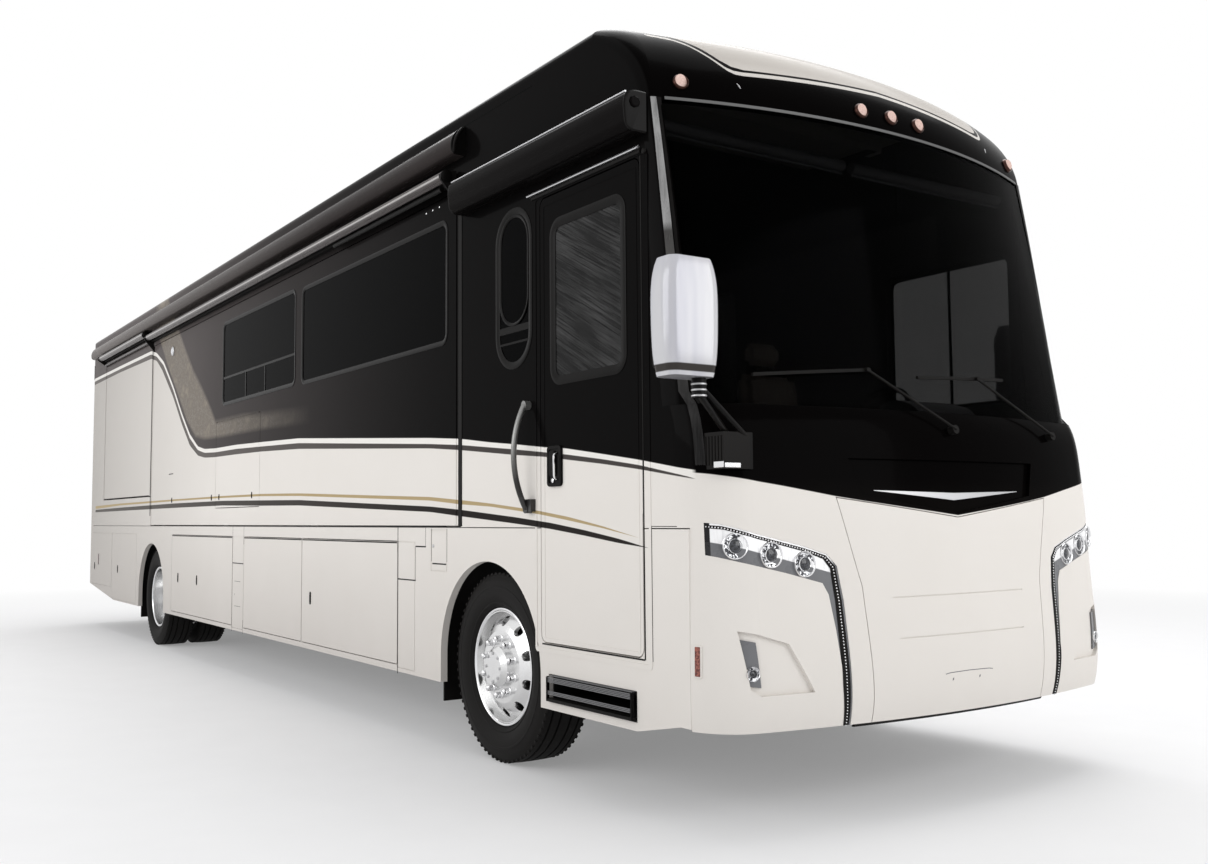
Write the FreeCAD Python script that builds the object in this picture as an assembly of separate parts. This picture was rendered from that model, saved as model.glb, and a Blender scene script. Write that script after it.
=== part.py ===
"""Rear-engine diesel motorhome: a 12.25 m coach body on a ladder chassis.

Millimetres. +X forward, +Y to the driver's side (left), +Z up. The origin is on the
ground under the middle of the length. Each function makes one sub-part; the table at
the end writes every sub-part to parts/NAME.step.
"""
import FreeCAD, Part
import math
import os

V = FreeCAD.Vector

# Overall sizes
LENGTH = 12250.0
WIDTH = 2565.0
WHEELBASE = 7070.0
FRONT_OVERHANG = 1980.0
SKIRT_Z = 350.0            # lower edge of the body sides
WAIST_Z = 1200.0           # top of the floor, where upper walls meet the skirts
EAVE_Z = 3430.0            # top of the side walls
ROOF_EDGE_R = 63.0
ROOF_CROWN_Z = 3560.0
SLIDE_TOP_Z = 3050.0       # top of the slide-out openings and foot of the front brow
COWL_Z = 1700.0            # lip under the windshield

# Thicknesses and clearances
WALL_T = 50.0
SKIRT_T = 40.0
CAP_T = 40.0
FLOOR_T = 70.0
DOOR_T = 34.0
SHEET_T = 12.0
PANEL_T = 30.0
PANEL_SEAM = 4.0           # around the centre panel of the front
GLASS_T = 6.0
GLASS_RECESS = 4.0
SEAL_GAP = 0.3             # between a pane and its opening
DOOR_GAP = 6.0             # around a door that opens
HINGE_R = 2.9              # hinge barrel, standing in the door's gap
HINGE_OFFSET = 3.3         # from a door's edge to its hinge line
HINGE_LEAF = 2.0
SLIDE_GAP = 8.0            # around a slide-out room
SEAT_GAP = 0.3             # under a piece that slides or rests

# Running gear
TYRE_R = 485.0
TYRE_W = 280.0
RIM_R = 289.0
RIM_W = 210.0
AXLE_Z = TYRE_R
WHEEL_Y = 1095.0           # middle of the front and of the outer rear wheel
DUAL_SPACING = 330.0
KINGPIN_Y = 1000.0
STEER_ARM = 190.0
RUN_GAP = 0.3              # radial, at pins and bearings
RAIL_Y = (350.0, 430.0)
RAIL_Z = (700.0, 950.0)

# Worked out from the sizes above
HALF = WIDTH / 2
NOSE_X = LENGTH / 2
TAIL_X = -LENGTH / 2
FRONT_AXLE_X = NOSE_X - FRONT_OVERHANG
REAR_AXLE_X = FRONT_AXLE_X - WHEELBASE
REAR_SEAM_X = TAIL_X + 225
FLOOR_HALF = HALF - SKIRT_T
RIGHT, LEFT = -1, 1


def front(distance):
    """X of a place that far ahead of the front axle."""
    return FRONT_AXLE_X + distance


def rear(distance):
    """X of a place that far ahead of the rear axle."""
    return REAR_AXLE_X + distance


BROW_SEAM_X = front(550)
CAP_SEAM_X = front(1420)       # upper walls end here, below the glass
CAP_SEAM_TOP_X = front(1374)   # and here, under the brow
FASCIA_SEAM_X = front(1650)    # skirts end here

# Plan sections of the front: height, set back from the nose, bow radius, corner radius
NOSE_SECTIONS = [
    (400, 25, 5200, 245),
    (560, 0.5, 5200, 245),
    (950, 25, 5200, 245),
    (1300, 45, 5200, 245),
    (1500, 66, 5200, 242),
    (1640, 92, 5100, 232),
    (COWL_Z, 118, 5000, 222),
]
SCREEN_SECTIONS = [
    (1640, 117, 5000, 290),
    (SLIDE_TOP_Z, 348, 3500, 60),
]
BROW_SECTIONS = [
    (SLIDE_TOP_Z, 348, 3500, 60),
    (3150, 377, 3500, 70),
    (3300, 472, 3500, 110),
    (3420, 608, 3500, 165),
    (3500, 765, 3500, 215),
    (3570, 1040, 3500, 280),
]

# Doors and windows: x from, x to, z from, z to, corner radius
ENTRY_DOOR = (front(522), front(1341), 661, 2790, 40)
ENTRY_WINDOW = (front(630), front(1225), 1885, 2655, 70)
EGRESS_WINDOW = (front(95), front(431), 2003, 2800, 165)
LEFT_WINDOWS = [
    (front(450), front(1330), 1860, 2680, 70),
    (front(-2250), front(-950), 2050, 2850, 70),
    (rear(2170), rear(3400), 2230, 2910, 70),
    (rear(-2000), rear(-900), 2230, 2910, 70),
]
SLIDE_WINDOWS = [
    (front(-2785), front(-480), 2220, 2910, 60),
    (front(-4716), front(-2930), 2230, 2930, 60),
]
TV_DOOR = (front(-4889), front(-3710), 1356, 2090, 12)

# Slide-out rooms: x from, x to, z from, z to, depth
FRONT_SLIDE = (rear(-113), front(-311), WAIST_Z, SLIDE_TOP_Z, 750)
REAR_SLIDE = (rear(-2420), rear(-137), 1495, 3150, 620)
PLATFORM_Z = 1500.0            # bedroom floor over the engine

# Baggage doors: name, side, x from, x to, hinged at the rear (-1) or front (1) edge
BAY_Z = (395, 1112)
BAY_DOORS = [
    ("bay_door_right_front", RIGHT, front(-2740), front(-1130), 1),
    ("bay_door_right_middle", RIGHT, rear(3000), front(-2752), -1),
    ("bay_door_right_rear", RIGHT, rear(766), rear(2687), 1),
    ("bay_door_left_front", LEFT, front(-2740), front(-1130), 1),
    ("bay_door_left_middle", LEFT, rear(3000), front(-2752), -1),
]
BAY_SPLITS = [rear(580), rear(2780), rear(2940), front(-1050), front(-680)]

# Shallow joints between fixed side panels: x from, x to, z from, z to
PANEL_JOINTS = [
    (rear(-3000), rear(-1900), 500, 1115),
    (rear(-1890), rear(-687), 375, 1115),
    (rear(2700), rear(2990), 375, 1115),
    (front(-1118), front(-883), 375, 1115),
    (front(-676), front(-476), 955, 1185),
]
JOINT_W = 5.0
JOINT_DEPTH = 4.0

# Wheel arches in the skirts: centre x, centre z, radius
FRONT_ARCH = (front(-20), 494, 530)
REAR_ARCH = (rear(-50), 507, 515)
LINER_R = 575.0
LINER_Y = 600.0
LINER_TOP_Z = 700.0            # inner wall of a liner stops here, over axle and rods

STEP = (front(589), front(1284), 392, 510)
ENGINE_DOOR = (-800, 800, 620, 1700, 40)     # y from, y to, z from, z to, radius
TAIL_LAMP = (985, 1085, 900, 1520, 30)


# ---------------------------------------------------------------- shape helpers

def slab(x0, x1, y0, y1, z0, z1):
    """Box between two corners given in any order."""
    low = V(min(x0, x1), min(y0, y1), min(z0, z1))
    size = (abs(x1 - x0), abs(y1 - y0), abs(z1 - z0))
    return Part.makeBox(*size, low)


def prism(points, direction):
    """Closed outline of straight lines, pushed along a vector."""
    wire = Part.makePolygon(points + points[:1])
    return Part.Face(wire).extrude(direction)


def prism_y(outline, y0, y1):
    """(x, z) outline from y0 to y1."""
    return prism([V(x, y0, z) for x, z in outline], V(0, y1 - y0, 0))


def prism_x(outline, x0, x1):
    """(y, z) outline from x0 to x1."""
    return prism([V(x0, y, z) for y, z in outline], V(x1 - x0, 0, 0))


def line(a, b):
    return Part.LineSegment(a, b).toShape()


def arc(a, middle, b):
    return Part.Arc(a, middle, b).toShape()


def rounded_wire(place, u0, u1, v0, v1, r):
    """Rectangle with round corners; place(u, v) gives its points."""
    k = r * (1 - math.sqrt(0.5))
    edges = [
        line(place(u0 + r, v0), place(u1 - r, v0)),
        arc(place(u1 - r, v0), place(u1 - k, v0 + k), place(u1, v0 + r)),
        line(place(u1, v0 + r), place(u1, v1 - r)),
        arc(place(u1, v1 - r), place(u1 - k, v1 - k), place(u1 - r, v1)),
        line(place(u1 - r, v1), place(u0 + r, v1)),
        arc(place(u0 + r, v1), place(u0 + k, v1 - k), place(u0, v1 - r)),
        line(place(u0, v1 - r), place(u0, v0 + r)),
        arc(place(u0, v0 + r), place(u0 + k, v0 + k), place(u0 + r, v0)),
    ]
    return Part.Wire(edges)


def side_plate(rect, y0, y1, grow=0):
    """Rounded (x, x, z, z, radius) plate in a side wall, grown by a margin."""
    x0, x1, z0, z1, r = rect
    wire = rounded_wire(lambda u, v: V(u, y0, v), x0 - grow, x1 + grow, z0 - grow,
                        z1 + grow, r + grow)
    return Part.Face(wire).extrude(V(0, y1 - y0, 0))


def end_plate(rect, x0, x1, grow=0):
    """Rounded (y, y, z, z, radius) plate in an end wall, grown by a margin."""
    y0, y1, z0, z1, r = rect
    wire = rounded_wire(lambda u, v: V(x0, u, v), y0 - grow, y1 + grow, z0 - grow,
                        z1 + grow, r + grow)
    return Part.Face(wire).extrude(V(x1 - x0, 0, 0))


def rod(a, b, r):
    """Round bar between two points."""
    return Part.makeCylinder(r, (b - a).Length, a, b - a)


def revolve_y(profile, x, z):
    """(radius, y) outline of straight lines turned about a wheel's axis."""
    points = [V(x, y, z + radius) for radius, y in profile]
    wire = Part.makePolygon(points + points[:1])
    return Part.Face(wire).revolve(V(x, 0, z), V(0, 1, 0), 360)


def mirrored(shape):
    return shape.mirror(V(0, 0, 0), V(0, 1, 0))


def on_side(shape_of_right, side):
    """A shape modelled on the right side, or its mirror image."""
    return shape_of_right if side == RIGHT else mirrored(shape_of_right)


def fused(shapes):
    first, rest = shapes[0], shapes[1:]
    return first.multiFuse(rest).removeSplitter() if rest else first


def group(shapes):
    return Part.makeCompound(shapes)


# ---------------------------------------------------------------- the body's outer form

def plan_wire(z, set_back, bow_r, corner_r, back_x, inset=0):
    """Bowed front outline at one height: side, corner arc, bow, corner arc, side."""
    nose = NOSE_X - set_back - inset
    half = HALF - inset
    bow = bow_r - inset
    corner = max(corner_r - inset, 12)
    bow_x = nose - bow
    corner_y = half - corner
    corner_x = bow_x + math.sqrt((bow - corner) ** 2 - corner_y ** 2)
    turn = math.atan2(corner_y, corner_x - bow_x)

    def corner_point(angle, side):
        x = corner_x + corner * math.cos(angle)
        return V(x, side * (corner_y + corner * math.sin(angle)), z)

    def bow_point(angle, side):
        return V(bow_x + bow * math.cos(angle), side * bow * math.sin(angle), z)

    middle = (turn + math.pi / 2) / 2
    right_side, left_side = corner_point(math.pi / 2, RIGHT), corner_point(math.pi / 2, LEFT)
    edges = [
        line(V(back_x, -half, z), right_side),
        arc(right_side, corner_point(middle, RIGHT), bow_point(turn, RIGHT)),
        arc(bow_point(turn, RIGHT), V(nose, 0, z), bow_point(turn, LEFT)),
        arc(bow_point(turn, LEFT), corner_point(middle, LEFT), left_side),
        line(left_side, V(back_x, half, z)),
        line(V(back_x, half, z), V(back_x, -half, z)),
    ]
    return Part.Wire(edges)


def front_form(sections, back_x, inset=0, straight=False):
    """Solid of the front between its lowest and highest plan section."""
    wires = [plan_wire(*row, back_x, inset) for row in sections]
    return Part.makeLoft(wires, True, straight)


def section_at(sections, z):
    """Set back and bow radius at a height, between the table's rows."""
    for low, high in zip(sections, sections[1:]):
        if z <= high[0]:
            break
    t = (z - low[0]) / (high[0] - low[0])
    return low[1] + t * (high[1] - low[1]), low[2] + t * (high[2] - low[2])


def front_x(sections, y, z):
    """X of the bowed front surface at a place on it."""
    set_back, bow_r = section_at(sections, z)
    return NOSE_X - set_back - bow_r + math.sqrt(bow_r ** 2 - y ** 2)


def roof_form(x0, x1, inset=0, bottom=EAVE_Z):
    """Crowned roof section between two stations."""
    half, eave, r = HALF - inset, EAVE_Z, ROOF_EDGE_R - inset / 2
    top = eave + r
    k = r * (1 - math.sqrt(0.5))
    points = [
        (-half, bottom), (-half, eave), (-half + k, top - k), (-half + r, top),
        (0, ROOF_CROWN_Z - inset), (half - r, top), (half - k, top - k),
        (half, eave), (half, bottom),
    ]
    p = [V(x0, y, z) for y, z in points]
    sides = [line(p[0], p[1]), line(p[7], p[8])] if bottom < eave else []
    edges = [arc(p[1], p[2], p[3]), arc(p[3], p[4], p[5]), arc(p[5], p[6], p[7])]
    edges += sides + [line(p[8], p[0])]
    wire = Part.Wire(Part.__sortEdges__(edges))
    return Part.Face(wire).extrude(V(x1 - x0, 0, 0))


def nose_shell(outer_inset, inner_inset, back_x):
    """Skin of the lower front between two depths, closed on top by the cowl."""
    outer = front_form(NOSE_SECTIONS, back_x, outer_inset)
    inner = front_form(NOSE_SECTIONS, back_x - 10, inner_inset)
    lid = slab(back_x - 20, NOSE_X + 20, -WIDTH, WIDTH, COWL_Z - CAP_T, COWL_Z + 20)
    return outer.cut(inner.cut(lid))


# ---------------------------------------------------------------- front of the body

CENTRE_PANEL = [(-697, 1322), (-592, 951), (-563, 500), (-561, 380), (561, 380),
                (563, 500), (592, 951), (697, 1322), (0, 1236)]
BADGE_RECESS = [(-613, 1483), (-560, 1330), (0, 1252), (560, 1330), (613, 1483)]
HEADLAMP = [(1250, 1221), (1215, 1217), (1082, 1176), (875, 1125), (759, 1089),
            (712, 1040), (690, 900), (676, 566), (668, 398), (694, 398), (721, 600),
            (741, 784), (763, 926), (789, 973), (954, 1017), (1150, 1064), (1250, 1093)]
FOG_RECESS = [(1177, 798), (1102, 783), (968, 741), (855, 546), (1098, 544), (1141, 573)]
FOG_STRIP = [(1168, 765), (1107, 752), (1092, 576), (1138, 584)]
PANEL_CREASES = [(430, 899), (410, 730)]       # half width, height
VALANCE = (620, 382, 400)                       # half width, z from, z to
LAMP_RECESS = 3.0
FOG_DEPTH = 18.0


def front_prism(outline, side=LEFT, margin=0, x0=FASCIA_SEAM_X + 15):
    """Outline given with positive y, grown by a margin and pushed through the front."""
    corners = [V(x0, side * y, z) for y, z in outline]
    wire = Part.makePolygon(corners + corners[:1])
    if margin:
        wire = wire.makeOffset2D(margin, 2)
    return Part.Face(wire).extrude(V(NOSE_X + 50 - x0, 0, 0))


def front_fascia():
    """Moulded lower front with its cowl lip, cut for lamps and centre panel."""
    back = front(1200)
    shell = nose_shell(0, CAP_T, back)
    shell = shell.cut(front_form(NOSE_SECTIONS, back - 5, 160).common(
        slab(back, NOSE_X, -HALF, HALF, COWL_Z - CAP_T - 5, COWL_Z + 5)))
    shell = shell.cut(slab(back - 20, FASCIA_SEAM_X, -WIDTH, WIDTH, 0, WAIST_Z))
    shell = shell.cut(slab(back - 20, CAP_SEAM_X, -WIDTH, WIDTH, WAIST_Z - 1, COWL_Z + 50))
    cuts = [front_prism(CENTRE_PANEL)]
    for side in (RIGHT, LEFT):
        cuts.append(front_prism(HEADLAMP, side))
    core = front_form(NOSE_SECTIONS, back, FOG_DEPTH)
    pockets = [front_prism(BADGE_RECESS).cut(core)]
    for side in (RIGHT, LEFT):
        pockets.append(front_prism(FOG_RECESS, side).cut(core))
    return shell.cut(group(cuts)).cut(group(pockets))


def front_panel():
    """Centre panel of the lower front with its two pressed creases and a black valance."""
    shell = nose_shell(0, PANEL_T, front(1200))
    panel = shell.common(front_prism(CENTRE_PANEL, margin=-PANEL_SEAM))
    skin = front_form(NOSE_SECTIONS, front(1200), JOINT_DEPTH)
    for half_w, z in PANEL_CREASES:
        groove = slab(front(1300), NOSE_X + 50, -half_w, half_w, z, z + JOINT_W)
        panel = panel.cut(groove.cut(skin))
    return panel


def valance():
    """Black lower lip hung between the frame horns under the fascia."""
    half_w, z0, z1 = VALANCE
    lip = front_form([(z0, 60, 5200, 230), (z1 - SEAT_GAP, 45, 5200, 230)], front(1200))
    core = front_form([(z0 - 5, 60, 5200, 230), (z1 + 5, 45, 5200, 230)], front(1190), 15)
    strip = slab(front(1300), NOSE_X + 50, -half_w, half_w, z0 - 10, z1)
    return lip.cut(core).common(strip)


def windshield_opening(grow=0):
    return slab(front(1300), NOSE_X + 50, -1215 - grow, 1215 + grow, COWL_Z + 3 - grow,
                SLIDE_TOP_Z - 15 + grow)


def screen_form(inset=0):
    return front_form(SCREEN_SECTIONS, front(300), inset, straight=True)


def brow_outer():
    form = front_form(BROW_SECTIONS, front(200))
    return form.common(roof_form(front(200), NOSE_X, bottom=SLIDE_TOP_Z - 50))


def wall_side_outline():
    """(x, z) outline of an upper wall, whose front edge leans back with the glass."""
    return [(REAR_SEAM_X, WAIST_Z), (CAP_SEAM_X, WAIST_Z), (CAP_SEAM_X, COWL_Z),
            (CAP_SEAM_TOP_X, SLIDE_TOP_Z), (BROW_SEAM_X, SLIDE_TOP_Z),
            (BROW_SEAM_X, EAVE_Z), (REAR_SEAM_X, EAVE_Z)]


def front_cap():
    """Brow over the windshield with the two corner posts beside the glass."""
    outer = brow_outer()
    inner = outer.translated(V(-CAP_T, 0, -CAP_T)).common(
        slab(front(0), NOSE_X, CAP_T - HALF, HALF - CAP_T, 0, EAVE_Z + 300))
    brow = outer.cut(inner).cut(slab(front(0), BROW_SEAM_X, -WIDTH, WIDTH, 0, 4000))
    posts = screen_form().cut(screen_form(CAP_T))
    beside = [(CAP_SEAM_X, COWL_Z), (NOSE_X, COWL_Z), (NOSE_X, SLIDE_TOP_Z),
              (CAP_SEAM_TOP_X, SLIDE_TOP_Z)]
    posts = posts.common(prism_y(beside, -HALF, HALF))
    posts = posts.cut(windshield_opening())
    return fused([brow, posts])


def windshield():
    pane = screen_form(GLASS_RECESS).cut(screen_form(GLASS_RECESS + GLASS_T + 2))
    return pane.common(windshield_opening(-SEAL_GAP))


BLADE_PARTS = 5
BLADE_W = 14.0


def wiper(pivot, elbow, blade_from, blade_to):
    """Arm from a pivot on the cowl to the middle of a blade; each place is (y, z)."""
    def on_glass(y, z, gap):
        return V(front_x(SCREEN_SECTIONS, y, z) + gap, y, z)

    foot = V(front_x(NOSE_SECTIONS, pivot[0], pivot[1]) - 12, *pivot)
    head = foot + V(48, 0, 8)
    arm_end = on_glass(*elbow, 22)
    span = [(blade_from[0] + (blade_to[0] - blade_from[0]) * k / BLADE_PARTS,
             blade_from[1] + (blade_to[1] - blade_from[1]) * k / BLADE_PARTS)
            for k in range(BLADE_PARTS + 1)]
    rings = []
    for y, z in span:
        c = on_glass(y, z, BLADE_W / 2 + 1)
        ends = [V(c.x + a * BLADE_W / 2, y, z + b * BLADE_W / 2)
                for a, b in ((-1, -1), (1, -1), (1, 1), (-1, 1), (-1, -1))]
        rings.append(Part.makePolygon(ends))
    blade = Part.makeLoft(rings, True, True)
    arm = rod(head, arm_end, 6)
    drop = rod(arm_end + V(9, 0, 0), on_glass(*elbow, BLADE_W / 2), 9)
    whole = fused([rod(foot, head, 20), arm, drop, blade])
    return whole.cut(front_form(NOSE_SECTIONS, front(1300), -SEAT_GAP))


def wipers():
    return group([
        wiper((20, 1615), (-430, 1872), (-1005, 1826), (-400, 1874)),
        wiper((820, 1615), (290, 1874), (-120, 1856), (520, 1884)),
    ])


# ---------------------------------------------------------------- lamps

MARKERS = [(-1121, 3129), (-195, 3125), (0, 3127), (195, 3125), (1121, 3129)]


def front_lamps():
    """Headlamp strips, fog lamp strips and the five marker lamps over the glass."""
    back = front(1200)
    shell = nose_shell(LAMP_RECESS, 75, back)
    pocket_floor = front_form(NOSE_SECTIONS, back, FOG_DEPTH - SEAL_GAP)
    fog_shell = front_form(NOSE_SECTIONS, back, FOG_DEPTH - 8).cut(pocket_floor)
    lamps = []
    for side in (RIGHT, LEFT):
        lamps.append(shell.common(front_prism(HEADLAMP, side, -SEAL_GAP)))
        lamps.append(fog_shell.common(front_prism(FOG_STRIP, side)))
    brow = brow_outer().translated(V(SEAT_GAP, 0, SEAT_GAP))
    for y, z in MARKERS:
        x = front_x(BROW_SECTIONS, y, z)
        lamps.append(rod(V(x - 40, y, z), V(x + 16, y, z), 30).cut(brow))
    return group(lamps)


def tail_lamps():
    lamps = []
    for side in (RIGHT, LEFT):
        lamp = end_plate(TAIL_LAMP, TAIL_X, TAIL_X + 20 - SEAT_GAP, -SEAL_GAP)
        lamps.append(on_side(mirrored(lamp), side))
    return group(lamps)


# ---------------------------------------------------------------- side walls and skirts

def wall_blank():
    """Right upper wall before its openings are cut."""
    return prism_y(wall_side_outline(), -HALF, -HALF + WALL_T)


def right_wall():
    wall = wall_blank()
    cuts = [side_plate(ENTRY_DOOR, -HALF - 5, -HALF + WALL_T + 5, DOOR_GAP)]
    cuts.append(side_plate(EGRESS_WINDOW, -HALF - 5, -HALF + WALL_T + 5))
    for x0, x1, z0, z1, _ in (FRONT_SLIDE, REAR_SLIDE):
        cuts.append(slab(x0, x1, -HALF - 5, -HALF + WALL_T + 5, z0, z1))
    hinge = hinge_barrel(ENTRY_DOOR[1], 1, WAIST_Z + 60, ENTRY_DOOR[3] - 80)
    return fused([wall.cut(group(cuts)), hinge])


def left_wall():
    wall = mirrored(wall_blank())
    cuts = [side_plate(window, HALF - WALL_T - 5, HALF + 5) for window in LEFT_WINDOWS]
    return wall.cut(group(cuts))


def side_panes(window, side, frame_gap=SEAL_GAP):
    y_out = -HALF + GLASS_RECESS
    pane = side_plate(window, y_out, y_out + GLASS_T, -frame_gap)
    return on_side(pane, side)


def side_glass():
    panes = [side_panes(EGRESS_WINDOW, RIGHT)]
    panes += [side_panes(window, LEFT) for window in LEFT_WINDOWS]
    return group(panes)


def arch_form(arch, y0, y1, bottom=0):
    """Round-topped wheel opening."""
    x, z, r = arch
    k = r * math.sqrt(0.5)
    p = [V(x - r, y0, bottom), V(x - r, y0, z), V(x, y0, z + r), V(x + r, y0, z),
         V(x + r, y0, bottom)]
    edges = [line(p[0], p[1]), arc(p[1], V(x - k, y0, z + k), p[2]),
             arc(p[2], V(x + k, y0, z + k), p[3]), line(p[3], p[4]), line(p[4], p[0])]
    return Part.Face(Part.Wire(edges)).extrude(V(0, y1 - y0, 0))


def hinge_barrel(door_edge, direction, z0, z1):
    """Barrel and leaf of a right-hand door's hinge, reaching from its edge to the frame."""
    x = door_edge + direction * HINGE_OFFSET
    leaf = slab(x, door_edge + direction * (DOOR_GAP + 3), -HALF, -HALF + HINGE_LEAF, z0, z1)
    return rod(V(x, -HALF, z0), V(x, -HALF, z1), HINGE_R).fuse(leaf)


def joint_groove(x0, x1, z0, z1, y0, y1):
    """Narrow rectangular groove that marks a fixed panel's edge."""
    w = JOINT_W
    return slab(x0, x1, y0, y1, z0, z1).cut(slab(x0 + w, x1 - w, y0, y1, z0 + w, z1 - w))


def bay_rect(x0, x1):
    return (x0, x1, BAY_Z[0], BAY_Z[1], 10)


def skirt(side):
    """Lower body side with wheel arches, bay openings and panel joints."""
    outline = [(REAR_SEAM_X, 485), (rear(-1750), SKIRT_Z + 10), (front(1290), SKIRT_Z),
               (front(1586), 408), (FASCIA_SEAM_X, 408), (FASCIA_SEAM_X, WAIST_Z - 5),
               (REAR_SEAM_X, WAIST_Z - 5)]
    y0, y1 = -HALF - 5, -HALF + SKIRT_T + 5
    cuts = [arch_form(FRONT_ARCH, y0, y1), arch_form(REAR_ARCH, y0, y1)]
    for _, door_side, x0, x1, _ in BAY_DOORS:
        if door_side == side:
            cuts.append(side_plate(bay_rect(x0, x1), y0, y1, DOOR_GAP))
    for row in PANEL_JOINTS:
        cuts.append(joint_groove(*row, -HALF, -HALF + JOINT_DEPTH))
    if side == RIGHT:
        cuts.append(side_plate(ENTRY_DOOR, y0, y1, DOOR_GAP))
        x0, x1, z0, z1 = STEP
        cuts.append(slab(x0 - DOOR_GAP, x1 + DOOR_GAP, y0, y1, z0 - DOOR_GAP, z1 + DOOR_GAP))
    panel = prism_y(outline, -HALF, -HALF + SKIRT_T).cut(group(cuts))
    barrels = []
    for _, door_side, x0, x1, edge in BAY_DOORS:
        if door_side == side:
            x = x1 if edge > 0 else x0
            barrels.append(hinge_barrel(x, edge, BAY_Z[0] + 60, BAY_Z[1] - 60))
    return on_side(fused([panel] + barrels), side)


def bay_door(x0, x1, side):
    """Baggage door with a folded inner rim."""
    z0, z1 = BAY_Z
    door = side_plate(bay_rect(x0, x1), -HALF, -HALF + SKIRT_T)
    hollow = slab(x0 + 30, x1 - 30, -HALF + 12, -HALF + SKIRT_T + 5, z0 + 30, z1 - 30)
    return on_side(door.cut(hollow), side)


# ---------------------------------------------------------------- entry

def entry_door():
    door = side_plate(ENTRY_DOOR, -HALF, -HALF + DOOR_T)
    return door.cut(side_plate(ENTRY_WINDOW, -HALF - 5, -HALF + DOOR_T + 5))


def entry_door_glass():
    return side_panes(ENTRY_WINDOW, RIGHT)


STEP_ROD_X = (90, 560)         # from the step's rear edge
STEP_ROD_R = 12.0
STEP_BRACKET_Y = (-930, -900)


def step_rods(radius, y0, y1):
    z = (STEP[2] + STEP[3]) / 2
    return [rod(V(STEP[0] + dx, y0, z), V(STEP[0] + dx, y1, z), radius) for dx in STEP_ROD_X]


def entry_step():
    """Pair of treads that slides out on two rods."""
    x0, x1, z0, z1 = STEP
    y_out, y_in = -HALF - 20, -960
    treads = [slab(x0, x1, y_out, y_in, z0, z0 + 14),
              slab(x0, x1, y_out + 40, y_in, z1 - 14, z1)]
    cheeks = [slab(x0, x0 + 10, y_out + 40, y_in, z0, z1),
              slab(x1 - 10, x1, y_out + 40, y_in, z0, z1),
              slab(x0, x1, y_in - 12, y_in, z0, z1)]
    return fused(treads + cheeks + step_rods(STEP_ROD_R, y_in - 6, -620))


def stepwell():
    """Two-step well inside the entry door, with the step's rod brackets below it."""
    x0, x1 = front(573), front(1365)
    outer = [(-FLOOR_HALF, 640), (-900, 640), (-900, 908), (-600, 908), (-600, 1130),
             (-FLOOR_HALF, 1130)]
    inner = [(-FLOOR_HALF - 5, 652), (-912, 652), (-912, 920), (-612, 920), (-612, 1140),
             (-FLOOR_HALF - 5, 1140)]
    well = prism_x(outer, x0, x1).cut(prism_x(inner, x0 + SHEET_T, x1 - SHEET_T))
    bracket = slab(STEP[0], STEP[1], *STEP_BRACKET_Y, STEP[2], 640)
    bracket = bracket.cut(group(step_rods(STEP_ROD_R + RUN_GAP, -1000, -800)))
    return fused([well, bracket])


GRAB_HANDLE = (415, 1290, 1795, 90, 14)      # ahead of axle, z from, z to, reach, radius


def grab_handle():
    """Bowed hand rail behind the entry door."""
    ahead, z0, z1, reach, r = GRAB_HANDLE
    x = front(ahead)
    a, b = V(x + 8, -HALF - 28, z0), V(x - 4, -HALF - 28, z1)
    path = Part.Wire([arc(a, V(x, -HALF - reach, (z0 + z1) / 2), b)])
    start = path.Edges[0].tangentAt(path.Edges[0].FirstParameter)
    ring = Part.Wire([Part.makeCircle(r, a, start)])
    rail = path.makePipeShell([ring], True, False)
    feet = [rod(V(p.x, -HALF, p.z), V(p.x, -HALF - 33, p.z), 22) for p in (a, b)]
    block = slab(x - 5, x + 58, -HALF - 30, -HALF, z0 - 14, z0 + 46)
    return fused([rail, block] + feet)


# ---------------------------------------------------------------- slide-out rooms

SKID_H = 8.0


def slide_box(room, skid_gap=SEAT_GAP):
    """Open-backed room: face, ends, ceiling and floor, on skids over the coach floor."""
    x0, x1, z0, z1, depth = room
    g = SLIDE_GAP
    floor_z = PLATFORM_Z if z0 > WAIST_Z else WAIST_Z
    low = floor_z + SKID_H
    y_out, y_in = -HALF, -HALF + depth
    shell = slab(x0 + g, x1 - g, y_out, y_in, low, z1 - g)
    room_space = slab(x0 + g + 35, x1 - g - 35, y_out + 42, y_in + 5, low + 30, z1 - g - 35)
    shell = shell.cut(room_space)
    skids = []
    for k in range(4):
        x = x0 + 250 + k * (x1 - x0 - 500) / 3
        skids.append(slab(x - 60, x + 60, -HALF + WALL_T + 20, y_in - 20, floor_z + skid_gap, low))
    return fused([shell] + skids)


def front_slide():
    box = slide_box(FRONT_SLIDE)
    cuts = [side_plate(w, -HALF - 5, -HALF + 60) for w in SLIDE_WINDOWS]
    cuts.append(side_plate(TV_DOOR, -HALF - 5, -HALF + 60, DOOR_GAP))
    x0, x1, z0, z1, _ = TV_DOOR
    case = slab(x0 - 20, x1 + 20, -HALF + 42, -HALF + 220, z0 - 20, z1 + 20)
    hollow = slab(x0 - 8, x1 + 8, -HALF + 30, -HALF + 208, z0 - 8, z1 + 8)
    z = z1 + HINGE_OFFSET
    barrel = rod(V(x0 + 40, -HALF, z), V(x1 - 40, -HALF, z), HINGE_R)
    leaf = slab(x0 + 40, x1 - 40, -HALF, -HALF + HINGE_LEAF, z, z1 + DOOR_GAP + 3)
    return fused([box.cut(group(cuts)), case.cut(hollow), barrel, leaf])


def front_slide_glass():
    return group([side_panes(w, RIGHT) for w in SLIDE_WINDOWS])


def rear_slide():
    return slide_box(REAR_SLIDE)


def tv_door():
    return side_plate(TV_DOOR, -HALF, -HALF + 30)


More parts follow.
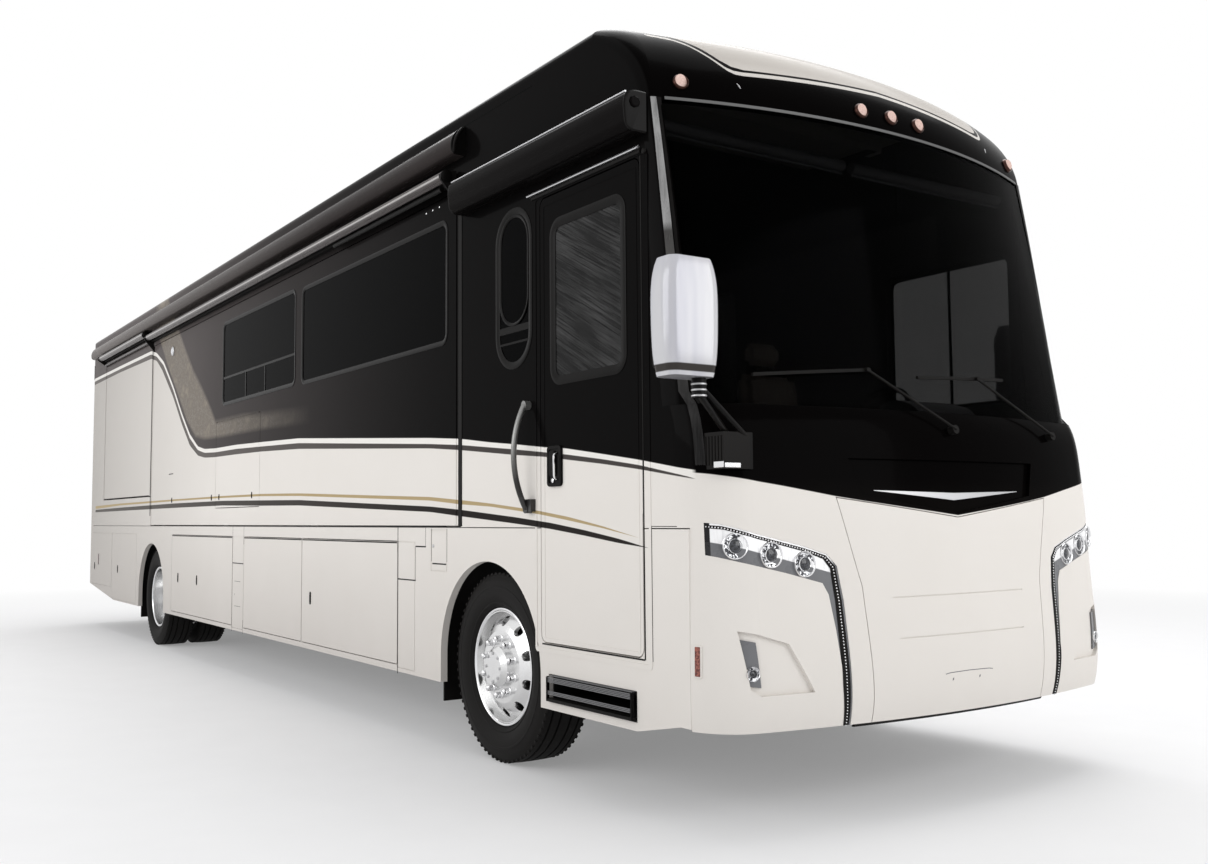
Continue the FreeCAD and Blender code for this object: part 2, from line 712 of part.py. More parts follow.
ROLLER_Y, ROLLER_R = -HALF - 70, 28.0
FRONT_ROLLER_Z, REAR_ROLLER_Z = 3122.0, 3176.0


def topper(room, roller_z):
    """Awning roller over a slide-out room, on two end plates."""
    x0, x1, z1 = room[0] + 40, room[1] - 40, room[3]
    low = min(z1 - 70, roller_z - 92)
    plate = [(-HALF - SEAT_GAP, low), (-HALF - SEAT_GAP, z1 - 15), (-HALF - 8, z1 - 10),
             (-HALF - 8, roller_z + 36), (-HALF - 60, roller_z + 36),
             (-HALF - 104, roller_z + 10), (-HALF - 104, roller_z - 24)]
    ends = [prism_x(plate, x, x + 14) for x in (x0, x1 - 14)]
    roller = rod(V(x0 + 10, ROLLER_Y, roller_z), V(x1 - 10, ROLLER_Y, roller_z), ROLLER_R)
    cover = slab(x0 + 10, x1 - 10, -HALF - 40, -HALF - 8, roller_z - 40, roller_z + 30)
    return fused(ends + [roller, cover])


# ---------------------------------------------------------------- roof and rear

def awnings():
    """Patio awning case along the eave and the smaller case over the entry door."""
    case = [(-HALF, 3222), (-HALF, EAVE_Z - 40), (-HALF - 26, EAVE_Z - 55),
            (-HALF - 70, 3335), (-HALF - 88, 3285), (-HALF - 86, 3245), (-HALF - 66, 3222)]
    patio = prism_x(case, rear(-2880), front(-260))
    door_case = [(-HALF, 2880), (-HALF, 3060), (-HALF - 60, 3060), (-HALF - 105, 3040),
                 (-HALF - 118, 2995), (-HALF - 110, 2905), (-HALF - 85, 2880)]
    return group([patio, prism_x(door_case, front(-247), front(1400))])


def roof():
    return roof_form(REAR_SEAM_X, BROW_SEAM_X)


ROOF_UNITS = [(front(-2500), 900, 640, 300), (rear(1100), 900, 640, 300)]


def air_conditioners():
    """Two air conditioner shrouds with sloped fronts, and a low vent between them."""
    top = ROOF_CROWN_Z
    shapes = []
    for x, length, width, height in ROOF_UNITS:
        wires = []
        for dz, grow, r in ((-90, 0, 120), (height - 60, -30, 110), (height, -110, 60)):
            place = lambda u, v, z=top + dz: V(x + u, v, z)
            half_l, half_w = length / 2 + grow, width / 2 + grow
            wires.append(rounded_wire(place, -half_l, half_l, -half_w, half_w, r))
        shapes.append(Part.makeLoft(wires, True, True))
    x_vent = (ROOF_UNITS[0][0] + ROOF_UNITS[1][0]) / 2
    shapes.append(slab(x_vent - 200, x_vent + 200, -200, 200, top - 90, top + 110))
    clear = roof().translated(V(0, 0, SEAT_GAP))
    return group([shape.cut(clear) for shape in shapes])


TAIL_CORNER_R = 110.0
TAIL_TOP = [(0, 3270), (52, 3450), (200, 3585)]    # in from the tail, height


def rear_form():
    """Solid of the tail: round plan corners, a rolled top edge and the roof's crown."""
    r = TAIL_CORNER_R
    k = r * (1 - math.sqrt(0.5))
    x0, x1 = TAIL_X, REAR_SEAM_X
    p = [(x1, -HALF), (x1, HALF), (x0 + r, HALF), (x0 + k, HALF - k), (x0, HALF - r),
         (x0, r - HALF), (x0 + k, k - HALF), (x0 + r, -HALF)]
    p = [V(x, y, 300) for x, y in p]
    edges = [line(p[0], p[1]), line(p[1], p[2]), arc(p[2], p[3], p[4]), line(p[4], p[5]),
             arc(p[5], p[6], p[7]), line(p[7], p[0])]
    plan = Part.Face(Part.Wire(edges)).extrude(V(0, 0, 3400))
    rolled = [(x0 + x, z) for x, z in TAIL_TOP]
    q = [V(x, -HALF - 10, z) for x, z in [(x1, 485), (x0, 508)] + rolled + [(x1, rolled[-1][1])]]
    edges = [line(q[0], q[1]), line(q[1], q[2]), arc(q[2], q[3], q[4]), line(q[4], q[5]),
             line(q[5], q[0])]
    side = Part.Face(Part.Wire(edges)).extrude(V(0, WIDTH + 20, 0))
    return plan.common(side).common(roof_form(x0 - 50, x1 + 50, bottom=150))


def rear_hollow():
    """Space inside the tail, with flat bevels behind the round corners."""
    tail, half, r = TAIL_X + CAP_T, HALF - CAP_T, TAIL_CORNER_R - CAP_T
    x1 = REAR_SEAM_X + 10
    plan = prism([V(x, y, 200) for x, y in [
        (x1, -half), (x1, half), (tail + r, half), (tail, half - r), (tail, r - half),
        (tail + r, -half)]], V(0, 0, 3600))
    rolled = [(tail + x, z - CAP_T) for x, z in TAIL_TOP]
    side = prism_y([(x1, 150), (tail - 10, 150), (tail - 10, rolled[0][1] - 40)] + rolled
                   + [(x1, rolled[-1][1])], -half - 10, half + 10)
    return plan.common(side).common(roof_form(tail - 50, x1 + 50, CAP_T, bottom=150))


def rear_cap():
    shell = rear_form().cut(rear_hollow())
    cuts = [end_plate(ENGINE_DOOR, TAIL_X - 5, TAIL_X + CAP_T + 5, DOOR_GAP)]
    lamp = end_plate(TAIL_LAMP, TAIL_X - 5, TAIL_X + 20)
    cuts += [lamp, mirrored(lamp)]
    y0, y1, _, z1, _ = ENGINE_DOOR
    z = z1 + HINGE_OFFSET
    barrel = rod(V(TAIL_X, y0 + 80, z), V(TAIL_X, y1 - 80, z), HINGE_R)
    leaf = slab(TAIL_X, TAIL_X + HINGE_LEAF, y0 + 80, y1 - 80, z, z1 + DOOR_GAP + 3)
    proud = slab(TAIL_X - 10, TAIL_X, y0, y1, z - 10, z + 10)
    return fused([shell.cut(group(cuts)), barrel.cut(proud), leaf])


LOUVRES = 8
LOUVRE_H = 24.0


def engine_door():
    """Rear engine lid with a bank of louvres."""
    lid = end_plate(ENGINE_DOOR, TAIL_X, TAIL_X + 30)
    y0, y1, z0, z1, _ = ENGINE_DOOR
    pitch = LOUVRE_H * 2.4
    slots = []
    for k in range(LOUVRES):
        z = z1 - 130 - k * pitch
        slots.append(prism_y([(TAIL_X - 5, z - 14), (TAIL_X - 5, z - 14 + LOUVRE_H),
                              (TAIL_X + 35, z + LOUVRE_H), (TAIL_X + 35, z)],
                             y0 + 140, y1 - 140))
    return lid.cut(group(slots))


# ---------------------------------------------------------------- mirrors

MIRROR_Y = HALF + 195
MIRROR_SIZE = (150, 250, 450)      # along x, across y, height


def mirror_head(x, y, z_bottom):
    """Tall mirror housing, fuller in the middle than at its ends."""
    depth, width, height = MIRROR_SIZE
    wires = []
    for rise, scale in ((0, 0.84), (0.12, 0.93), (0.5, 1.0), (0.88, 0.93), (1, 0.8)):
        dx, dy = depth * scale / 2, width * scale / 2
        z = z_bottom + rise * height
        place = lambda u, v, z=z: V(x + u, y + v, z)
        wires.append(rounded_wire(place, -dx, dx, -dy, dy, 44 * scale))
    return Part.makeLoft(wires, True, False)


def mirrors():
    """Right mirror on an arm from the cowl corner, left mirror beside its window."""
    x, z = front(1890), 1768
    stem_foot = V(front(1900), -1420, z - 75)
    arm = [rod(V(5920, -1170, 1560), stem_foot + V(0, 4, 10), 13),
           rod(V(5953, -1112, 1565), stem_foot + V(0, 14, 38), 11),
           rod(stem_foot, stem_foot + V(0, 0, 90), 28)]
    bracket = slab(5800, 5965, -1235, -1085, 1432, 1578)
    right = fused(arm + [bracket, mirror_head(x, -MIRROR_Y, z)])
    right = right.cut(front_form(NOSE_SECTIONS, front(1200), -SEAT_GAP))
    x, z = front(1190), 1860
    foot = V(front(1375), HALF, 1780)
    elbow = V(x + 20, MIRROR_Y, 1790)
    pieces = [rod(foot - V(0, 5, 0), foot + V(0, 28, 0), 38), rod(foot + V(0, 18, 0), elbow, 14),
              rod(elbow - V(0, 0, 16), V(elbow.x, MIRROR_Y, z + 10), 24),
              mirror_head(x, MIRROR_Y, z)]
    left = fused(pieces).cut(slab(foot.x - 100, foot.x + 100, HALF - 50, HALF, 1700, 1900))
    return group([right, left])


# ---------------------------------------------------------------- floor and basement

def floor():
    """Coach floor with the entry stepwell and the raised bedroom floor."""
    plate = slab(TAIL_X + 125, front(1550), -FLOOR_HALF, FLOOR_HALF, WAIST_Z - FLOOR_T, WAIST_Z)
    well_space = slab(front(585), front(1353), -FLOOR_HALF - 5, -612, 1120, WAIST_Z + 5)
    plate = plate.cut(well_space)
    x0, x1 = TAIL_X + 125, rear(-140)
    inner = HALF - WALL_T
    platform = slab(x0, x1, -inner, inner, WAIST_Z, PLATFORM_Z)
    hollow = slab(x0 - 5, x1 - 30, -inner + 30, inner - 30, WAIST_Z - 5, PLATFORM_Z - 30)
    return fused([plate, platform.cut(hollow), stepwell()])


def basement():
    """Baggage bays: a tub each side with bulkheads up to the floor."""
    x0, x1 = BAY_SPLITS[0], BAY_SPLITS[-1]
    z0, z1 = SKIRT_Z + 20, WAIST_Z - FLOOR_T
    tubs = []
    for side in (RIGHT, LEFT):
        parts = [slab(x0, x1, -FLOOR_HALF, -450, z0, z0 + 20),
                 slab(x0, x1, -462, -450, z0, z1)]
        for x in BAY_SPLITS:
            x = min(x, x1 - SHEET_T)
            parts.append(slab(x, x + SHEET_T, -FLOOR_HALF, -450, z0, z1))
        tubs.append(on_side(fused(parts), side))
    return group(tubs)


def wheel_liner(arch, reach):
    """Arched liner over one wheel with a part inner wall."""
    x, z, _ = arch
    outer = arch_form((x, z, reach + 8), -FLOOR_HALF, -LINER_Y, SKIRT_Z + 60)
    inner = arch_form((x, z, reach), -FLOOR_HALF - 5, -LINER_Y - 8, SKIRT_Z - 60)
    shell = outer.cut(inner)
    return shell.cut(slab(x - reach, x + reach, -LINER_Y - 20, -LINER_Y + 5, 0, LINER_TOP_Z))


def wheel_liners():
    liners = []
    for side in (RIGHT, LEFT):
        for arch in (FRONT_ARCH, REAR_ARCH):
            x = arch[0] - LINER_R
            flap = slab(x - 14, x - 2, -FLOOR_HALF + 6, -990, 240, 560)
            liners.append(on_side(fused([wheel_liner(arch, LINER_R), flap]), side))
    return group(liners)


# ---------------------------------------------------------------- chassis

CROSSMEMBERS = [front(1350), front(500), front(-900), front(-2600), rear(2700), rear(900),
                rear(-500), rear(-2840)]
RECEIVER_Z = 465.0
RECEIVER_SIZE = (63.5, 51.5)       # outside and inside width of the square tube
RECEIVER_PIN_R = 8.2
RECEIVER_PIN_BACK = 60.0


def rail():
    """C-section side rail, open towards the middle."""
    y0, y1 = -RAIL_Y[1], -RAIL_Y[0]
    z0, z1 = RAIL_Z
    outline = [(y0, z0), (y1, z0), (y1, z0 + 10), (y0 + 10, z0 + 10), (y0 + 10, z1 - 10),
               (y1, z1 - 10), (y1, z1), (y0, z1)]
    return prism_x(outline, TAIL_X + 300, front(1620))


def chassis_frame():
    """Ladder frame with floor risers and the rear hitch receiver."""
    y_web = RAIL_Y[1] - 10
    shapes = [rail(), mirrored(rail())]
    for x in CROSSMEMBERS:
        shapes.append(slab(x - 40, x + 40, -y_web - 2, y_web + 2, RAIL_Z[0] + 40, RAIL_Z[1] - 40))
        for side in (RIGHT, LEFT):
            shapes.append(slab(x - 50, x + 50, side * RAIL_Y[0], side * RAIL_Y[1],
                               RAIL_Z[1] - 5, WAIST_Z - FLOOR_T))
    x_bar = TAIL_X + 300
    shapes.append(slab(x_bar, x_bar + 80, -RAIL_Y[1], RAIL_Y[1], RECEIVER_Z - 40,
                       RECEIVER_Z + 40))
    for side in (RIGHT, LEFT):
        shapes.append(slab(x_bar, x_bar + 200, side * (RAIL_Y[1] - 10), side * RAIL_Y[1],
                           RECEIVER_Z - 40, RAIL_Z[0] + 5))
        shapes.append(slab(front(1500), front(1620), side * RAIL_Y[0], side * RAIL_Y[1], 402,
                           RAIL_Z[0] + 5))
        y_horn = RAIL_Y[0] + 12
        x_horn = front_x(NOSE_SECTIONS, y_horn, NOSE_SECTIONS[0][0]) - PANEL_T - SEAT_GAP
        shapes.append(slab(front(1500), x_horn, side * RAIL_Y[0], side * y_horn, 402, 450))
    out, hole = RECEIVER_SIZE[0] / 2, RECEIVER_SIZE[1] / 2
    shapes.append(slab(TAIL_X + 10, x_bar + 5, -out, out, RECEIVER_Z - out, RECEIVER_Z + out))
    frame = fused(shapes)
    frame = frame.cut(slab(TAIL_X, x_bar - 1, -hole, hole, RECEIVER_Z - hole, RECEIVER_Z + hole))
    pin_x = TAIL_X + 10 + RECEIVER_PIN_BACK
    return frame.cut(rod(V(pin_x, -60, RECEIVER_Z), V(pin_x, 60, RECEIVER_Z), RECEIVER_PIN_R))


ENGINE = (TAIL_X + 420, 1210, 330, 500, 1118)     # rear x, length, half width, z from, z to


def engine():
    """Engine block with its gearbox and the shaft to the rear axle."""
    x0, length, half_w, z0, z1 = ENGINE
    x1 = x0 + length
    block = slab(x0, x1, -half_w, half_w, z0 + 60, z1)
    sump = slab(x0 + 150, x1 - 350, -half_w + 120, half_w - 120, z0, z0 + 60)
    lugs = [slab(x, x + 120, s * half_w, s * (RAIL_Y[1] - 10 - SEAT_GAP), 780, 840)
            for x in (x0 + 200, x1 - 320) for s in (RIGHT, LEFT)]
    gearbox = rod(V(x1 - 5, 0, 720), V(x1 + 620, 0, 680), 190)
    shaft = rod(V(x1 + 600, 0, 680), V(rear(-215), 0, AXLE_Z + 40), 50)
    return fused([block, sump, gearbox, shaft] + lugs)


AIR_SPRING_R = 75.0


def front_axle():
    """Dropped I-beam with kingpins and air springs under the rails."""
    x = front(0)
    beam = slab(x - 50, x + 50, -820, 820, 385, 470)
    flutes = [slab(x + s * 16, x + s * 55, -700, 700, 402, 453) for s in (-1, 1)]
    beam = beam.cut(group(flutes))
    shapes = [beam]
    for side in (RIGHT, LEFT):
        y = side * KINGPIN_Y
        shapes.append(prism_x([(side * 800, 385), (y - side * 20, 434), (y - side * 20, 560),
                               (side * 800, 470)], x - 45, x + 45))
        shapes.append(rod(V(x, y, 400), V(x, y, 570), 38))
        shapes.append(rod(V(x, y, 340), V(x, y, 634), 22))
        pad_y = side * (RAIL_Y[0] + RAIL_Y[1]) / 2
        shapes.append(rod(V(x, pad_y, 465), V(x, pad_y, RAIL_Z[0]), AIR_SPRING_R))
    return fused(shapes)


SPINDLE_R = 45.0


def knuckle(side):
    """Yoke on the kingpin with the wheel spindle and a straight steering arm."""
    x, y = front(0), KINGPIN_Y
    upright = slab(x - 70, x + 70, -y - 80, -y - 44, 335, 635)
    lugs = [slab(x - 42, x + 42, -y - 50, -y + 42, z, z + 55) for z in (340, 575)]
    spindle = rod(V(x, -y - 75, AXLE_Z), V(x, -y - 205, AXLE_Z), SPINDLE_R)
    arm = [slab(x - STEER_ARM - 30, x - 40, -y - 22, -y + 22, 388, 412),
           rod(V(x - STEER_ARM, -y, 388), V(x - STEER_ARM, -y, 446), 12),
           slab(x - 70, x - 40, -y - 60, -y + 22, 388, 412)]
    shape = fused([upright, spindle] + lugs + arm)
    shape = shape.cut(rod(V(x, -y, 300), V(x, -y, 700), 22 + RUN_GAP))
    return on_side(shape, side)


def tie_rod():
    """Rod between the steering arms, with an eye on each pin."""
    x, z = front(0) - STEER_ARM, 430
    bar = rod(V(x, -KINGPIN_Y + 20, z), V(x, KINGPIN_Y - 20, z), 14)
    eyes = [rod(V(x, s * KINGPIN_Y, z - 17), V(x, s * KINGPIN_Y, z + 17), 26) for s in (-1, 1)]
    pins = [rod(V(x, s * KINGPIN_Y, z - 40), V(x, s * KINGPIN_Y, z + 40), 12 + RUN_GAP)
            for s in (-1, 1)]
    return fused([bar] + eyes).cut(group(pins))


def rear_axle():
    """Drive axle: tube, round differential housing, spindles and air springs."""
    x = rear(0)
    shapes = [rod(V(x, -560, AXLE_Z), V(x, 560, AXLE_Z), 70),
              rod(V(x - 90, 0, AXLE_Z), V(x + 90, 0, AXLE_Z), 190),
              rod(V(x - 210, 0, AXLE_Z + 30), V(x, 0, AXLE_Z), 90),
              rod(V(x, -1080, AXLE_Z), V(x, 1080, AXLE_Z), 50)]
    for side in (RIGHT, LEFT):
        pad_y = side * (RAIL_Y[0] + RAIL_Y[1]) / 2
        for dx in (-240, 240):
            shapes.append(rod(V(x + dx, pad_y, 545), V(x + dx, pad_y, RAIL_Z[0]), AIR_SPRING_R))
        shapes.append(slab(x - 300, x + 300, pad_y - 45, pad_y + 45, 520, 560))
    return fused(shapes)


# ---------------------------------------------------------------- wheels

HAND_HOLES = 10


def tyre(x, y):
    """Radial truck tyre about a wheel's middle plane; half outline mirrored in code."""
    half = TYRE_W / 2
    side = [(RIM_R + SEAL_GAP, 100), (RIM_R + 22, 118), (RIM_R + 75, half), (TYRE_R - 80, half),
            (TYRE_R - 28, half - 12), (TYRE_R - 6, half - 26), (TYRE_R, half - 42)]
    profile = [(r, y + w) for r, w in side] + [(r, y - w) for r, w in reversed(side)]
    return revolve_y(profile, x, AXLE_Z)


def hand_holes(x, y0, y1, radius, size):
    holes = []
    for k in range(HAND_HOLES):
        angle = math.radians(360 * (k + 0.5) / HAND_HOLES)
        centre = V(x + radius * math.cos(angle), y0, AXLE_Z + radius * math.sin(angle))
        holes.append(rod(centre, centre + V(0, y1 - y0, 0), size))
    return group(holes)


def barrel(y):
    """Rim barrel outline (radius, y) with a lip at each edge, without its disc."""
    w = RIM_W / 2
    return [(RIM_R, y - w), (RIM_R, y + w), (RIM_R - 9, y + w), (RIM_R - 9, y - w)]


def front_rim(side):
    """Convex disc wheel with ten hand holes, fused with its hub."""
    x, y = front(0), -WHEEL_Y
    disc = [(RIM_R - 5, y - 30), (RIM_R - 5, y - 48), (215, y - 104), (185, y - 116),
            (100, y - 116), (100, y - 100), (178, y - 100), (205, y - 88)]
    hub = [(105, y + 10), (105, y - 140), (80, y - 165), (0, y - 165), (0, y - 122),
           (SPINDLE_R + RUN_GAP, y - 122), (SPINDLE_R + RUN_GAP, y + 10)]
    shape = fused([revolve_y(barrel(y), x, AXLE_Z), revolve_y(disc, x, AXLE_Z),
                   revolve_y(hub, x, AXLE_Z)])
    shape = shape.cut(hand_holes(x, y - 130, y - 40, 232, 26))
    return on_side(shape, side)


def rear_rims(side):
    """Dual wheels: outer disc deeply dished, both bolted to one hub."""
    x = rear(0)
    meet = -WHEEL_Y + DUAL_SPACING / 2
    shapes = []
    for direction in (-1, 1):
        y = meet + direction * DUAL_SPACING / 2
        disc = [(RIM_R - 5, y - direction * 60), (RIM_R - 5, y - direction * 78),
                (200, meet), (120, meet), (120, meet + direction * 14),
                (192, meet + direction * 14)]
        shapes += [revolve_y(barrel(y), x, AXLE_Z), revolve_y(disc, x, AXLE_Z)]
    hub = [(125, meet + 150), (125, meet - 60), (105, meet - 130), (70, meet - 175),
           (0, meet - 175), (0, meet - 152), (50 + RUN_GAP, meet - 152),
           (50 + RUN_GAP, meet + 150)]
    shape = fused(shapes + [revolve_y(hub, x, AXLE_Z)])
    shape = shape.cut(hand_holes(x, meet - 90, meet + 90, 228, 24))
    return on_side(shape, side)


def rear_tyres(side):
    y = -WHEEL_Y
    pair = group([tyre(rear(0), y), tyre(rear(0), y + DUAL_SPACING)])
    return on_side(pair, side)


# ---------------------------------------------------------------- cab interior

SEAT_X, SEAT_Y = 330.0, 620.0


def dashboard():
    """Deep in front of the driver, shallow beside the entry."""
    outline = [(1050, 1400), (1050, 1600), (1250, 1735), (1540, 1690), (1540, 1300),
               (1540, WAIST_Z + SEAT_GAP), (1400, WAIST_Z + SEAT_GAP), (1340, 1400)]
    dash = prism_y([(front(x), z) for x, z in outline], -1050, 1050)
    return dash.cut(slab(front(1000), front(1400), -1200, -420, 1100, 1900))


def steering_wheel():
    """Wheel, three spokes and the column down to the dashboard."""
    centre = V(front(900), SEAT_Y, 1760)
    axis = V(-0.72, 0, 0.69)
    ring = Part.makeTorus(215, 15, centre, axis)
    across = V(0, 1, 0)
    up = axis.cross(across)
    spokes = [rod(centre, centre + direction * 212, 11)
              for direction in (across, -across, up if up.z < 0 else -up)]
    hub = rod(centre - axis * 30, centre + axis * 25, 55)
    column = rod(centre - axis * 20, centre - axis * 330, 32)
    whole = fused([ring, hub, column] + spokes)
    return whole.cut(dashboard())


def seat(y):
    """Swivel armchair: base, cushion, back with headrest and two arms."""
    x, z = front(SEAT_X), WAIST_Z + SEAT_GAP
    side_outline = [(-240, 0), (180, 0), (180, 60), (90, 90), (90, 240), (270, 250),
                    (300, 330), (280, 400), (-170, 380), (-330, 1120), (-420, 1110),
                    (-300, 300), (-150, 240), (-150, 90), (-240, 60)]
    body = prism_y([(x + dx, z + dz) for dx, dz in side_outline], y - 255, y + 255)
    arms = [slab(x - 200, x + 220, y + s * 255, y + s * 325, z + 500, z + 560)
            for s in (-1, 1)]
    posts = [slab(x - 190, x - 120, y + s * 255, y + s * 325, z + 300, z + 505)
             for s in (-1, 1)]
    return fused([body] + arms + posts)


def front_seats():
    return group([seat(-SEAT_Y), seat(SEAT_Y)])


# ---------------------------------------------------------------- writing the sub-parts

def all_parts():
    parts = {
        "chassis_frame": chassis_frame(),
        "engine": engine(),
        "front_axle": front_axle(),
        "rear_axle": rear_axle(),
        "tie_rod": tie_rod(),
        "floor": floor(),
        "basement": basement(),
        "wheel_liners": wheel_liners(),
        "right_wall": right_wall(),
        "left_wall": left_wall(),
        "side_glass": side_glass(),
        "roof": roof(),
        "front_cap": front_cap(),
        "windshield": windshield(),
        "wipers": wipers(),
        "front_fascia": front_fascia(),
        "front_panel": front_panel(),
        "valance": valance(),
        "front_lamps": front_lamps(),
        "rear_cap": rear_cap(),
        "engine_door": engine_door(),
        "tail_lamps": tail_lamps(),
        "mirrors": mirrors(),
        "awnings": awnings(),
        "air_conditioners": air_conditioners(),
        "entry_door": entry_door(),
        "entry_door_glass": entry_door_glass(),
        "entry_step": entry_step(),
        "grab_handle": grab_handle(),
        "front_slide": front_slide(),
        "front_slide_glass": front_slide_glass(),
        "front_topper": topper(FRONT_SLIDE, FRONT_ROLLER_Z),
        "tv_door": tv_door(),
        "rear_slide": rear_slide(),
        "rear_topper": topper(REAR_SLIDE, REAR_ROLLER_Z),
        "dashboard": dashboard(),
        "steering_wheel": steering_wheel(),
        "front_seats": front_seats(),
    }
    for name, side, x0, x1, _ in BAY_DOORS:
        parts[name] = bay_door(x0, x1, side)
    for word, side in (("right", RIGHT), ("left", LEFT)):
        parts[f"{word}_skirt"] = skirt(side)
        parts[f"{word}_knuckle"] = knuckle(side)
        parts[f"front_tyre_{word}"] = on_side(tyre(front(0), -WHEEL_Y), side)
        parts[f"front_rim_{word}"] = front_rim(side)
        parts[f"rear_tyres_{word}"] = rear_tyres(side)
        parts[f"rear_rims_{word}"] = rear_rims(side)
    return parts


def main():
    os.makedirs("parts", exist_ok=True)
    for name, shape in all_parts().items():
        shape.exportStep(f"parts/{name}.step")
        print(f"{name:24s} solids {len(shape.Solids):2d}  valid {shape.isValid()}"
              f"  litres {shape.Volume / 1e6:9.2f}")


main()
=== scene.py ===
# %% [markdown]
# # A long coach, dressed
# This notebook takes the engineered frame of a rear-engine motor coach and
# gives it paint, glass, rubber and bright metal. The frame's parts stay where
# they are. Each step says what the real piece is, how it could be made, and
# why it is made this way.

import bmesh
import bpy
import math
from mathutils import Matrix, Vector
from mathutils.bvhtree import BVHTree


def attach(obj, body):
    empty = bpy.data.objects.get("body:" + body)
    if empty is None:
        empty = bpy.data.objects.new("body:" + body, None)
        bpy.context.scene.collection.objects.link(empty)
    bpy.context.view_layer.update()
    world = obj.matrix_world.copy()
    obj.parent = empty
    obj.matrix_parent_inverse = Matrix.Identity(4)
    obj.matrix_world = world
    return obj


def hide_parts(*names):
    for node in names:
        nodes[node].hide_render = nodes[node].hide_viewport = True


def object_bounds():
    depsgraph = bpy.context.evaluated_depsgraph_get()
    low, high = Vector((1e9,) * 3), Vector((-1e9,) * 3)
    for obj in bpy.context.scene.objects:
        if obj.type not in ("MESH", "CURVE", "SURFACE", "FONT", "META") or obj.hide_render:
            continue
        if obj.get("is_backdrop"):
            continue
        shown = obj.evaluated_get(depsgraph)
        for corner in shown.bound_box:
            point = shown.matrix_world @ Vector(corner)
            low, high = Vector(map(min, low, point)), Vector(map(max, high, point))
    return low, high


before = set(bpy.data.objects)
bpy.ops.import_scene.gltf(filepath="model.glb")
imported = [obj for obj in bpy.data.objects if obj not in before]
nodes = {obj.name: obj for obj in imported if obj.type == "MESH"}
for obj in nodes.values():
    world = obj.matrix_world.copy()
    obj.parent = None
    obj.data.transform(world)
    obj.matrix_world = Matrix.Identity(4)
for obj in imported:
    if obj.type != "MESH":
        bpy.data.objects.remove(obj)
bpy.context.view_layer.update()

# %% [markdown]
# ## Arithmetic on a material's wires
# A pattern such as a paint line is mostly sums: is this point above the line,
# and how far? Wiring Math nodes by hand is slow and hard to read, so a small
# class wraps a wire, and adding or multiplying two wires adds the node. One
# method makes every other node: its settings first, then its sockets.

# %% Wires and benches
def worked(operation, swap=False):
    """A Wire method that adds one Math node; swap puts the wire second."""
    def method(self, *others):
        return self.maths(operation, *((*others, self) if swap else (self, *others)))

    return method


class Wire:
    """An output socket that takes part in sums: 1 - wire adds a Math node."""

    def __init__(self, bench, socket):
        self.bench, self.socket = bench, socket

    def __getitem__(self, name):
        return Wire(self.bench, self.socket.node.outputs[name])

    def maths(self, operation, *values, clamp=False):
        settings = {"operation": operation, "use_clamp": clamp}
        return self.bench.node("ShaderNodeMath", settings, dict(enumerate(values)))

    __add__ = __radd__ = worked("ADD")
    __sub__, __rsub__ = worked("SUBTRACT"), worked("SUBTRACT", swap=True)
    __mul__ = __rmul__ = worked("MULTIPLY")
    __truediv__, __abs__ = worked("DIVIDE"), worked("ABSOLUTE")
    power, sine, most, least = worked("POWER"), worked("SINE"), worked("MAXIMUM"), worked("MINIMUM")

    def above(self, edge, soft=0.001):
        """0 below the edge, 1 above it, with a soft step between."""
        return self.maths("MULTIPLY_ADD", self - edge, 0.5 / soft, 0.5, clamp=True)

    def below(self, edge, soft=0.001):
        return 1 - self.above(edge, soft)

    def between(self, low, high, soft=0.001):
        return self.above(low, soft) * self.below(high, soft)


LINE_LOW, LINE_HIGH = 1.0, 3.7


def full(colour):
    """A wire as it is, or a plain colour with its alpha."""
    return colour if isinstance(colour, Wire) else (*colour, 1)


